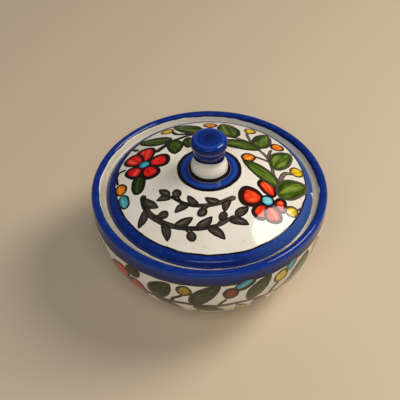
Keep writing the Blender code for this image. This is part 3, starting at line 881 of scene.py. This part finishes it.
def pigment(name, deep, middle, light, line, lineWidth, more=None):
    # strokes of thicker and thinner colour under the glaze, with a dark outline that wavers
    more = more or {}
    w = brushwork
    material, tree, place = newFinish(name)
    side = addNode(tree, "ShaderNodeSeparateXYZ", {"Vector": place})
    along, across, dab, gap = (addNode(tree, "ShaderNodeAttribute", attribute_name=label).outputs["Fac"]
                               for label in ("along", "across", "dab", "edgeGap"))

    # strokes run the length of the dab, four or five of them side by side
    strokePlace = addNode(tree, "ShaderNodeCombineXYZ", [
        addNode(tree, "ShaderNodeMath", (measure, many), operation="MULTIPLY")
        for measure, many in zip((along, across, dab), w["strokes"])])
    strokes = addNode(tree, "ShaderNodeTexNoise", {
        "Vector": strokePlace, "Scale": 1.0, "Detail": 3.0, "Roughness": 0.55})
    reach, *loads = w["pool"]
    pooled = addNode(tree, "ShaderNodeMapRange", (gap, lineWidth, lineWidth + reach, *loads),
                     interpolation_type="SMOOTHSTEP")
    load = addNode(tree, "ShaderNodeMath", (strokes, pooled), operation="ADD")
    body = addNode(tree, "ShaderNodeValToRGB", {"Fac": load})
    rampColours(body, w["ramp"], [fromHex(code) for code in (deep, middle, light)])
    # painted shade: the paint darkens towards the left of the pot, away from the light
    if "full" in more:
        start, end = w["full"]
        leftShadeAmount = addNode(tree, "ShaderNodeMapRange", (side.outputs["X"], start * mm, end * mm))
        body = addNode(tree, "ShaderNodeMix", {"Factor": leftShadeAmount, "A": body, "B": fromHex(more["full"])},
                       data_type="RGBA", blend_type="MULTIPLY")

    # the outline wavers, and is browner where the brush ran dry
    shake = addNode(tree, "ShaderNodeTexNoise", {
        "Vector": place, "Scale": 1 / (w["lineShake"] * mm), "Detail": 2.0})
    shaken = addNode(tree, "ShaderNodeMath", (shake, -2 * w["lineWaver"], w["lineWaver"]),
                     operation="MULTIPLY_ADD")
    wavered = addNode(tree, "ShaderNodeMath", (gap, shaken), operation="ADD")
    outer, inner = w["lineEdge"]
    lineCover = addNode(tree, "ShaderNodeMapRange", (wavered, lineWidth - outer, lineWidth + inner, 1, 0),
                        interpolation_type="SMOOTHSTEP")
    start, end = w["outlineDry"]
    spent = addNode(tree, "ShaderNodeMapRange", (side.outputs["X"], start * mm, end * mm))
    outline = coated(tree, fromHex(line), [(spent, fromHex(more.get("lineDry", line)))])
    glossOver(tree, place, coated(tree, body, [(lineCover, outline)]))
    return material


def inkLine(p):
    # the liner brush: black at its edges, browner where it ran dry along the middle
    w = brushwork
    material, tree, place = newFinish(p["name"])
    gap = addNode(tree, "ShaderNodeAttribute", attribute_name="edgeGap").outputs["Fac"]
    side = addNode(tree, "ShaderNodeSeparateXYZ", {"Vector": place})
    patches = addNode(tree, "ShaderNodeTexNoise", {
        "Vector": place, "Scale": 1 / (w["inkPatch"] * mm), "Detail": 3.0})
    reach, edgeDry = w["inkMiddle"]
    middle = addNode(tree, "ShaderNodeMapRange", (gap, p["edge"], p["edge"] + reach, edgeDry, 1))
    start, end = p["dry"]
    spent = addNode(tree, "ShaderNodeMapRange", (side.outputs["X"], start * mm, end * mm))
    uneven = addNode(tree, "ShaderNodeMath", (patches, 2 * w["inkUneven"], -w["inkUneven"]),
                     operation="MULTIPLY_ADD")
    dryness = addNode(tree, "ShaderNodeMath", (spent, uneven), operation="ADD", use_clamp=True)
    thinness = addNode(tree, "ShaderNodeMath", (middle, dryness), operation="MULTIPLY")
    glossOver(tree, place, coated(tree, fromHex(p["dark"]), [(thinness, fromHex(p["thin"]))]))
    return material


mixed = {kind: pigment(*row) for kind, row in paints.items()}
inkPaint = {place: inkLine(row) for place, row in lineInks.items()}

# How each kind of dab is shaped, and how high its paint stands over the one beneath, in mm
dabKinds = {
    "leaf": {"pointed": 0.72, "fullest": 0.84, "lift": 0.030},
    "blunt": {"pointed": 0.40, "fullest": 1.0, "lift": 0.034},
    "petal": {"pointed": 0.42, "fullest": 1.35, "lift": 0.045},
    "heart": {"pointed": 0.50, "fullest": 1.0, "lift": 0.065},
    "turquoise": {"pointed": 0.46, "fullest": 1.0, "lift": 0.040},
    "slip": {"pointed": 0.75, "fullest": 0.9, "lift": 0.040},
    "yellow": {"pointed": 0.52, "fullest": 1.05, "lift": 0.040},
    "orange": {"pointed": 0.52, "fullest": 1.15, "lift": 0.042},
}
handShakes = {"dabs": 0.45, "lines": 0.35, "lineLift": 0.022}  # mm


def toPlace(point, onWall):
    # mm across the lid, or degrees round the wall and mm up from the rim, to the flat drawing in metres
    x, y = point
    if onWall:
        return math.radians(x) * bowlHigh.x, bowlHigh.z + y * mm
    return x * mm, y * mm


def stroke(start, end, girth, bow=0.0, onWall=False, border=0.0):
    # a dab from where the brush was set down to where it was lifted. Its middle is bow mm off the straight
    # line, where the tree's arch is a quarter, and its outline grows by border towards the tip
    (x0, y0), (x1, y1) = toPlace(start, onWall), toPlace(end, onWall)
    return {"place": (x0, y0, 0), "heading": math.atan2(y1 - y0, x1 - x0),
            "reach": math.hypot(x1 - x0, y1 - y0), "girth": girth * mm, "bow": bow * 4 * mm, "border": border}


def spot(middle, reach, girth, lean, onWall=False):
    # a round dab by its middle; lean is its heading in degrees
    x, y = toPlace(middle, onWall)
    heading = math.radians(lean)
    back = reach * mm / 2
    return {"place": (x - math.cos(heading) * back, y - math.sin(heading) * back, 0), "heading": heading,
            "reach": reach * mm, "girth": girth * mm, "bow": 0.0, "border": 0.0}


def painted(name, mesh, tree, surface, values):
    ground, body, onWall, slot = surface
    piece = settled(name, mesh, tree, {"Ground": ground, "Round Wall": onWall, **values})
    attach(piece, body)


def paintDabs(name, dabs, kind, surface, paint=None):
    mesh = bpy.data.meshes.new(name + "Points")
    mesh.from_pydata([dab["place"] for dab in dabs], [], [])
    for label in ("heading", "reach", "girth", "bow", "border"):
        mesh.attributes.new(label, "FLOAT", "POINT").data.foreach_set("value", [dab[label] for dab in dabs])
    shape = dabKinds[kind]
    painted(name, mesh, dabsTree, surface, {
        "Pointed": shape["pointed"], "Fullest": shape["fullest"], "Lift": shape["lift"] * mm,
        "Waver": handShakes["dabs"] * mm, "Paint": mixed[paint or kind]})


def paintLines(name, lines, surface):
    # lines are lists of (x, y, width), with the widths in mm
    onWall = surface[2]
    mesh = bpy.data.meshes.new(name + "Paths")
    points, edges, press = [], [], []
    for line in lines:
        edges += [(len(points) + i, len(points) + i + 1) for i in range(len(line) - 1)]
        points += [(*toPlace(p[:2], onWall), 0) for p in line]
        press += [p[2] * mm for p in line]
    mesh.from_pydata(points, edges, [])
    mesh.attributes.new("press", "FLOAT", "POINT").data.foreach_set("value", press)
    painted(name, mesh, linesTree, surface, {
        "Lift": handShakes["lineLift"] * mm, "Waver": handShakes["lines"] * mm,
        "Paint": inkPaint["wall" if onWall else "lid"]})


# The vine on the lid, in mm from its middle: x to the right, y to the back
lidVine = {
    "leaf": [  # set down, lifted, girth, bow
        ((-18.7, 27.3), (-37.0, 31.0), 9.4, 1.0),
        ((-17.6, 26.4), (-17.2, 12.4), 9.0, 0.0),
        ((-10.3, 27.9), (-10.6, 16.6), 6.4, 0.0),
        ((-2.7, 31.3), (-18.6, 43.8), 11.2, -0.8),
        ((13.4, 26.6), (8.0, 45.6), 12.0, 0.0),
        ((25.4, 18.9), (31.4, 37.0), 10.4, 0.0),
        ((27.2, 18.6), (3.4, 21.6), 9.4, -0.6),
        ((32.5, 3.2), (42.9, 21.2), 11.4, 0.8),
        ((35.4, -9.2), (16.8, 7.4), 8.8, -0.4),
        ((33.6, -14.6), (49.8, -2.2), 12.2, 1.0),
    ],
    "blunt": [((-34.9, 2.0), (-35.9, -12.2), 7.4, 0.0)],
    "yellow": [  # middle, reach, girth, lean
        ((-21.8, 38.3), 7.4, 6.8, 20), ((22.5, 37.7), 7.8, 6.6, 70), ((44.7, 5.7), 8.2, 7.4, 30),
        ((40.1, -22.0), 7.4, 6.6, 30),
    ],
    "orange": [
        ((-44.6, -5.5), 8.6, 6.6, -82), ((1.3, 41.9), 7.4, 7.8, 90), ((35.9, 24.0), 8.4, 7.3, 40),
        ((20.2, 9.5), 8.2, 7.4, 200),
    ],
    "turquoise": [((-42.5, -14.2), 9.2, 5.8, -76)],
    "flowers": [
        # each petal: tip, girth, how much its outline grows by the tip, and where it starts from the heart
        {"side": "Left", "heart": (-33.0, 8.5), "coats": ("petal", "heart"), "petals": [
            ((-32.2, 23.4), 10.8, 0.7, (0, 1.6)), ((-19.6, 9.6), 10.6, 1.3, (1.4, 0.2)),
            ((-27.6, -3.2), 10.0, 1.3, (0.8, -1.4)), ((-41.4, 1.2), 10.6, 0.9, (-1.2, -0.9)),
            ((-42.2, 18.2), 10.4, 0.5, (-1.2, 1.2))]},
        # the flower on the right takes the lighter red and turquoise: painted light
        {"side": "Right", "heart": (28.2, -18.7), "coats": ("petalLit", "heartLit"), "petals": [
            ((25.6, -5.2), 8.8, 0.9, (3.8, 2.8)), ((13.8, -16.8), 12.4, 2.3, (-1.6, 0.2)),
            ((22.4, -29.6), 8.6, 0.9, (-1.4, -2.2)), ((32.0, -30.6), 9.4, 0.6, (0.6, -2.2)),
            ((38.0, -20.0), 9.4, 0.9, (3.0, -0.9))]},
    ],
    "heartSize": (7.4, 7.0), "heartLean": 20,
    "stems": [  # x, y, width of the line
        [(-42.6, 8.4, 1.5), (-46.2, 7.6, 1.7), (-47.4, 3.6, 1.7), (-46.3, -1.6, 1.4)],
        [(-27.4, 16.6, 2.6), (-23.2, 21.2, 3.0), (-19.3, 24.9, 2.6), (-14.0, 28.0, 2.2), (-8.7, 30.1, 2.0),
         (0.5, 31.4, 1.9), (10.7, 28.2, 1.9), (18.0, 25.3, 2.0), (22.4, 22.2, 2.1)],
        [(-18.8, 36.8, 1.8), (-17.4, 33.4, 2.2), (-14.0, 31.9, 2.0), (-8.7, 30.9, 1.8)],
        [(1.3, 39.6, 1.6), (0.6, 35.6, 1.5), (0.8, 31.8, 1.5)],
        [(20.6, 34.6, 1.7), (21.0, 28.8, 1.8), (22.7, 22.6, 1.9)],
        [(22.0, 22.6, 2.0), (25.0, 18.7, 2.0), (28.7, 14.0, 1.8), (31.0, 8.0, 1.8), (32.0, 3.3, 1.9),
         (32.5, -1.3, 1.9), (34.4, -5.6, 2.1), (34.2, -10.6, 1.9)],
        [(30.4, 12.6, 1.5), (31.4, 16.2, 1.7), (32.8, 20.2, 1.5)],
        [(23.2, 10.8, 1.4), (26.4, 9.9, 1.5), (30.6, 8.4, 1.4)],
        [(42.6, 3.2, 1.5), (39.0, 2.4, 2.4), (36.8, -0.5, 2.6), (34.9, -5.8, 2.0)],
        [(43.0, -20.2, 1.1), (44.6, -18.9, 1.3), (46.2, -17.2, 1.0)],
        [(-40.4, 26.0, 1.6), (-38.4, 24.3, 2.4), (-36.6, 22.6, 1.5)],
    ],
}

lidSurface = (glazedLid, "lid", False, "lid_glaze")
paintLines("lidStems", lidVine["stems"], lidSurface)
paintDabs("lidLeaves", [stroke(*leaf) for leaf in lidVine["leaf"]], "leaf", lidSurface)
# the blunt leaf takes the darker green: painted shade
paintDabs("lidBluntLeaf", [stroke(*leaf) for leaf in lidVine["blunt"]], "blunt", lidSurface, "leafShaded")
for flower in lidVine["flowers"]:
    hx, hy = flower["heart"]
    red, blue = flower["coats"]
    petals = [stroke((hx + sx, hy + sy), tip, girth, border=border)
              for tip, girth, border, (sx, sy) in flower["petals"]]
    paintDabs("lidPetals" + flower["side"], petals, "petal", lidSurface, red)
    # the heart covers the petals' ends
    heart = spot((hx, hy), *lidVine["heartSize"], lidVine["heartLean"])
    paintDabs("lidHeart" + flower["side"], [heart], "heart", lidSurface, blue)
for kind in ("yellow", "orange", "turquoise"):
    paintDabs("lid" + kind.title() + "Buds", [spot(*bud) for bud in lidVine[kind]], kind, lidSurface)
print("vine painted on the lid")


# Olive sprigs in ink on the front of the lid, in mm
sprig = {
    "branches": [  # path, width where it is cut and at its tip, reach and girth of its leaves
        {"path": [(-33.0, -13.0), (-30.5, -23.5), (-21.5, -31.8), (-9.0, -35.6), (3.5, -34.4), (12.0, -29.0)],
         "stem": (3.4, 1.8), "leaf": (10.4, 4.6), "every": 6.3},
        {"path": [(12.6, -18.6), (5.0, -22.4), (-4.0, -24.0), (-12.6, -22.0), (-19.6, -16.6)],
         "stem": (3.0, 1.6), "leaf": (8.4, 4.1), "every": 5.6},
    ],
    "curveSteps": 24, "stemPoints": 10,
    "firstLeaf": 2.5, "bareTip": 1.0,       # mm of bare stem at its start and at its tip
    "crowding": 0.2,                        # leaves stand this share closer at the tip
    "leafAngle": 40, "angleSpread": 5, "leafBow": 0.8, "leafGap": 0.6, "tipLeaf": 0.85,
    "olive": (5.4, 4.6), "oliveMiddle": 0.45, "oliveStalk": 3.0, "stalkWidth": (1.4, 1.2), "oliveEvery": 3,
    "seed": 11,
}


def sprigParts(s):
    # leaves stand by turns to the left and right of the stem, and now and then an olive in place of a leaf
    rng = random.Random(s["seed"])
    lines, leaves, olives = [], [], []
    for branch in s["branches"]:
        knots = [Vector((x, y, 0)) for x, y in branch["path"]]
        fine = []
        for i in range(len(knots) - 1):
            before, after = knots[max(i - 1, 0)], knots[min(i + 2, len(knots) - 1)]
            fine += interpolate_bezier(knots[i], knots[i] + (knots[i + 1] - before) / 6,
                                       knots[i + 1] - (after - knots[i]) / 6, knots[i + 1],
                                       s["curveSteps"])[:-1]
        total = sum((b - a).length for a, b in zip(fine, fine[1:]))
        cut, tip = branch["stem"]
        reach, girth = branch["leaf"]
        run, nextLeaf, side, line, grown = 0.0, s["firstLeaf"], 1, [], 0
        for a, b in zip(fine, fine[1:]):
            share = run / total
            if len(line) * total / s["stemPoints"] <= run:
                line.append((a.x, a.y, cut + (tip - cut) * share))
            if nextLeaf <= run < total - s["bareTip"]:
                grown += 1
                spread = rng.uniform(-s["angleSpread"], s["angleSpread"])
                heading = math.atan2(b.y - a.y, b.x - a.x) + math.radians(s["leafAngle"] + spread) * side
                way = Vector((math.cos(heading), math.sin(heading), 0))
                if grown % s["oliveEvery"] == 0:
                    end = a + way * s["oliveStalk"]
                    thick, thin = s["stalkWidth"]
                    lines.append([(a.x, a.y, thick), (*end.xy, thin)])
                    middle = end + way * s["olive"][0] * s["oliveMiddle"]
                    olives.append(spot(middle.xy, *s["olive"], math.degrees(heading)))
                else:
                    leaves.append(stroke((a + way * s["leafGap"]).xy, (a + way * reach).xy, girth,
                                         -s["leafBow"] * side))
                nextLeaf += branch["every"] * (1 - s["crowding"] * share)
                side = -side
            run += (b - a).length
        end = fine[-1]
        ahead = (fine[-1] - fine[-4]).normalized()
        line.append((end.x, end.y, tip))
        lines.append(line)
        leaves.append(stroke(end.xy, (end + ahead * reach * s["tipLeaf"]).xy, girth))
    return lines, leaves, olives


sprigLines, sprigLeaves, sprigOlives = sprigParts(sprig)
paintLines("lidSprigStems", sprigLines, lidSurface)
paintDabs("lidSprigLeaves", sprigLeaves, "leaf", lidSurface, "ink")
paintDabs("lidSprigOlives", sprigOlives, "heart", lidSurface, "ink")
print("sprigs painted on the lid")


# The frieze round the bowl, in degrees from the front, to the right, and mm from the top of the rim
frieze = {
    # the stem runs all the way round, and its height and width swing by so much at so many radians a step
    "stemSpan": (-181, 181), "stemSteps": 60, "stemAt": -26.9, "stemSwing": (0.7, 1.4),
    "stemWidth": 3.0, "stemUneven": (0.2, 1.7),
    "leaf": [
        ((-29.2, -26.6), (-19.4, -9.4), 11.8, 1.2), ((-9.6, -27.0), (4.2, -7.6), 10.6, 1.6),
        ((18.6, -25.2), (28.2, -7.6), 10.4, 1.2), ((45.4, -28.6), (51.6, -8.6), 13.8, 0.6),
        ((-43.4, -15.4), (-34.6, -9.6), 8.4, 0.0), ((-72.0, -29.0), (-64.0, -12.0), 9.4, 1.0),
        ((-29.0, -29.3), (-14.5, -37.0), 8.6, 0.4), ((-9.0, -28.2), (7.5, -36.5), 9.6, -0.4),
        ((23.0, -28.0), (31.0, -40.0), 9.6, -0.8), ((46.6, -28.2), (55.0, -40.5), 9.0, -0.8),
    ],
    "yellow": [((-12.7, -13.5), 8.8, 8.2, 80), ((34.5, -13.6), 9.8, 8.8, 80), ((16.0, -35.0), 8.6, 7.8, 100)],
    "orange": [((61.2, -16.0), 15.0, 8.4, 97), ((-8.5, -41.5), 8.4, 7.4, 80)],
    "rust": [((9.0, -15.2), 9.8, 8.4, 84)],
    "turquoise": [((38.0, -34.5), 7.8, 5.4, 60)],
    "slip": [((15.2, -9.4), 12.0, 5.8, 28), ((40.4, -9.2), 9.8, 6.0, 44)],   # pointed at both ends
    "flowers": [{"heart": (-45.5, -27.0), "petals": [
        ((-50.6, -13.6), 15.0), ((-33.4, -24.0), 14.6), ((-39.0, -39.4), 9.8), ((-52.2, -39.2), 10.6),
        ((-59.6, -28.3), 10.8)]}],
    "heartSize": (7.4, 7.0),
    "petalStart": 0.10,      # share of the way from the heart to the tip where a petal begins
    "petalBorder": 0.4,
    "stems": [
        [(-19.8, -26.4, 2.0), (-18.6, -22.6, 1.9), (-14.8, -18.8, 1.8), (-13.0, -16.8, 1.6)],
        [(3.6, -27.0, 2.0), (5.0, -23.6, 1.9), (7.6, -19.8, 1.7)],
        [(9.6, -10.8, 1.7), (14.6, -13.2, 1.9), (19.0, -10.0, 1.8), (20.4, -7.6, 1.5)],
        [(29.6, -27.0, 2.6), (31.2, -22.4, 2.4), (33.6, -18.4, 2.2)],
        [(-35.0, -23.0, 1.8), (-33.0, -28.0, 2.4), (-29.0, -27.6, 2.6), (-20.0, -27.0, 2.4)],
        [(-4.0, -32.0, 1.8), (-6.6, -35.6, 1.7), (-8.0, -38.4, 1.5)],
        [(12.0, -28.0, 1.8), (15.0, -29.8, 1.7), (17.0, -31.4, 1.5)],
        [(37.0, -27.6, 2.6), (40.6, -22.4, 2.4), (43.6, -17.6, 2.0)],
        [(-61.0, -11.0, 1.8), (-59.0, -17.0, 2.0), (-55.0, -24.0, 2.0)],
        [(34.0, -27.2, 1.9), (36.0, -29.8, 1.8), (37.6, -32.4, 1.6)],
        [(55.8, -27.0, 2.0), (59.4, -25.4, 1.9), (61.4, -22.0, 1.6)],
    ],
}
# Round the back each unit is a leaf up and a leaf down with two buds, or a flower. The last row of a leaf,
# bud or petal is how far the hand strays in its numbers
friezeUnit = {
    "from": 78.0, "to": 282.0, "count": 8, "seed": 4, "flowersAt": (2, 6),
    "leaves": [((0, -26.2), (9, -8.6), 9.6, 1.2, (1, 1.5, 0.8, 0.6)),
               ((4, -28.2), (12, -41.5), 8.6, -0.9, (1, 1.5, 1, 0.5))],
    "buds": [((17.5, -13.8), 8.8, 7.6, 80, (1, 0.6, 15)), ((20.5, -35.0), 8.4, 7.2, 75, (1, 0.6, 15))],
    "budKinds": ("yellow", "orange", "turquoise"), "turquoiseGirth": 5.6,
    "stems": [[(10.5, -27.0, 2.0), (12.4, -22.6, 1.9), (17.2, -16.6, 1.6)],
              [(15.0, -27.4, 1.9), (17.4, -30.4, 1.8), (20.4, -33.0, 1.6)]],
    "heartAt": -24.0, "petals": 5, "turn": 20, "degreeWide": 1.05,   # mm round the wall in one degree
    "petal": (12.6, 7.8, (7, 0.8, 0.6)),
}


def friezeRest(f, u):
    rng = random.Random(u["seed"])
    pitch = (u["to"] - u["from"]) / u["count"]

    def near(spread):
        return rng.uniform(-spread, spread)

    for unit in range(u["count"]):
        a = u["from"] + pitch * unit
        if unit in u["flowersAt"]:
            heart = (a + 0.5 * pitch, u["heartAt"])
            turn = near(u["turn"])
            reach, girth, (wayStray, reachStray, girthStray) = u["petal"]
            petals = []
            for i in range(u["petals"]):
                way = math.radians(turn + 360 / u["petals"] * i + near(wayStray))
                out = reach + near(reachStray)
                petals.append(((heart[0] + out * math.cos(way) / u["degreeWide"],
                                heart[1] + out * math.sin(way)), girth + near(girthStray)))
            f["flowers"].append({"heart": heart, "petals": petals})
            continue
        for (x0, y0), (x1, y1), girth, bow, (s0, s1, s2, s3) in u["leaves"]:
            f["leaf"].append(((a + x0 + near(s0), y0), (a + x1 + near(s1), y1 + near(s2)),
                              girth + near(s3), bow))
        kinds = [rng.choice(u["budKinds"]) for bud in u["buds"]]
        for kind, ((x, y), reach, girth, lean, (s0, s1, s2)) in zip(kinds, u["buds"]):
            f[kind].append(((a + x + near(s0), y + near(s1)), reach,
                            u["turquoiseGirth"] if kind == "turquoise" else girth, lean + near(s2)))
        f["stems"] += [[(a + x, y, width) for x, y, width in stem] for stem in u["stems"]]


def roundStem(f):
    start, end = f["stemSpan"]
    (swing, swingStep), (uneven, unevenStep) = f["stemSwing"], f["stemUneven"]
    return [(start + (end - start) * i / f["stemSteps"], f["stemAt"] + swing * math.sin(i * swingStep),
             f["stemWidth"] + uneven * math.sin(i * unevenStep)) for i in range(f["stemSteps"] + 1)]


def wallPetals(flower, start, border):
    hx, hy = flower["heart"]
    return [stroke((hx + start * (tx - hx), hy + start * (ty - hy)), (tx, ty), girth, 0.0, True, border)
            for (tx, ty), girth in flower["petals"]]


friezeRest(frieze, friezeUnit)
wallSurface = (glazedBowl, "bowl", True, "bowl_glaze")
paintLines("bowlStems", frieze["stems"] + [roundStem(frieze)], wallSurface)
paintDabs("bowlLeaves", [stroke(*leaf, True) for leaf in frieze["leaf"]], "leaf", wallSurface, "leafBelow")
petals, hearts = [], []
for flower in frieze["flowers"]:
    petals += wallPetals(flower, frieze["petalStart"], frieze["petalBorder"])
    hearts.append(spot(flower["heart"], *frieze["heartSize"], 0, True))
paintDabs("bowlPetals", petals, "petal", wallSurface, "petalBelow")
paintDabs("bowlHearts", hearts, "heart", wallSurface)
for name, row, kind, paint in (
        ("bowlYellowBuds", "yellow", "yellow", "yellowBelow"),
        ("bowlOrangeBuds", "orange", "orange", "orange"),
        ("bowlTurquoiseBuds", "turquoise", "turquoise", "turquoise"),
        ("bowlRustBud", "rust", "orange", "rust"),
        ("bowlTurquoiseSlips", "slip", "slip", "turquoise")):
    paintDabs(name, [spot(*bud, True) for bud in frieze[row]], kind, wallSurface, paint)
print("frieze painted round the bowl")


# Camera where the photograph was taken from
view = {"place": (-4.81, -322.2, 371.7), "aim": (-4.81, -5.53, 52.02), "roll": -0.74, "lens": 79.50,
        "clip": (0.01, 20)}
camera = newObject("camera", bpy.data.cameras.new("camera"))
camera.location = Vector(view["place"]) * mm
look = (Vector(view["aim"]) - Vector(view["place"])).to_track_quat("-Z", "Y").to_matrix()
camera.rotation_euler = (look @ Euler((0, 0, math.radians(view["roll"]))).to_matrix()).to_euler()
camera.data.lens = view["lens"]
camera.data.sensor_width = 36
camera.data.clip_start, camera.data.clip_end = view["clip"]
bpy.context.scene.camera = camera

# Floor and studio light. The glaze mirrors an oval window to the right of overhead, and a narrow strip in
# front for the thin bright line along the rim. A warm lamp low at the right and a wide fill from over the
# camera light the paint without showing in the glaze. Distances and sizes are in metres.
studio = {
    "floor": "#ccbba2", "floorRoughness": 0.6,
    "floorReach": 12,        # from the middle to each side
    "aimHeight": 60,         # mm over the floor, where the lamps point
    "sky": "#dcdcde", "skyStrength": 0.15,
}
lamps = {
    "window": {"toward": (0.5978, 0.1292, 0.7911), "far": 0.66, "size": (0.385, 0.240), "spin": 130,
               "radiance": 9.0, "colour": "#fffaf3", "inGlaze": True},
    "low": {"toward": (0.80, 0.33, 0.50), "far": 0.95, "size": (0.55, 0.50), "spin": 0,
            "radiance": 4.8, "colour": "#ffeed6", "inGlaze": False},
    "fill": {"toward": (-0.05, -0.64, 0.77), "far": 1.30, "size": (0.90, 0.80), "spin": 0,
             "radiance": 4.1, "colour": "#fffdf8", "inGlaze": False},
    "strip": {"toward": (0.0, -0.70, 0.71), "far": 1.30, "size": (0.90, 0.14), "spin": 0,
              "radiance": 3.2, "colour": "#eef2ff", "inGlaze": True},
}
floorMesh = bpy.data.meshes.new("floor")
far = studio["floorReach"]
floorMesh.from_pydata([(-far, -far, 0), (far, -far, 0), (far, far, 0), (-far, far, 0)], [], [(0, 1, 2, 3)])
floor = newObject("floor", floorMesh)
floorPaint = bpy.data.materials.new("paleTable")   # matt painted board: soft shadows and no gloss
floorPaint.use_nodes = True
floorShader = floorPaint.node_tree.nodes["Principled BSDF"]
floorShader.inputs["Base Color"].default_value = fromHex(studio["floor"])
floorShader.inputs["Roughness"].default_value = studio["floorRoughness"]
floorMesh.materials.append(floorPaint)

for name, lamp in lamps.items():
    light = bpy.data.lights.new(name + "Light", "AREA")
    light.shape = "ELLIPSE"
    light.size, light.size_y = lamp["size"]
    oval = math.pi / 4 * lamp["size"][0] * lamp["size"][1]
    light.energy = lamp["radiance"] * math.pi * oval   # an even oval gives off pi times its radiance
    light.color = fromHex(lamp["colour"])[:3]
    holder = newObject(name + "Light", light)
    toward = Vector(lamp["toward"]).normalized()
    holder.location = Vector((0, 0, studio["aimHeight"] * mm)) + toward * lamp["far"]
    spun = Euler((0, 0, math.radians(lamp["spin"]))).to_matrix()
    holder.rotation_euler = (toward.to_track_quat("Z", "Y").to_matrix() @ spun).to_euler()
    holder.visible_glossy = lamp["inGlaze"]

world = bpy.data.worlds.new("studio")
bpy.context.scene.world = world
world.use_nodes = True
sky = world.node_tree.nodes["Background"]
sky.inputs["Color"].default_value = fromHex(studio["sky"])
sky.inputs["Strength"].default_value = studio["skyStrength"]
bpy.context.scene.view_settings.view_transform = "Standard"
print("camera, floor and lights placed")
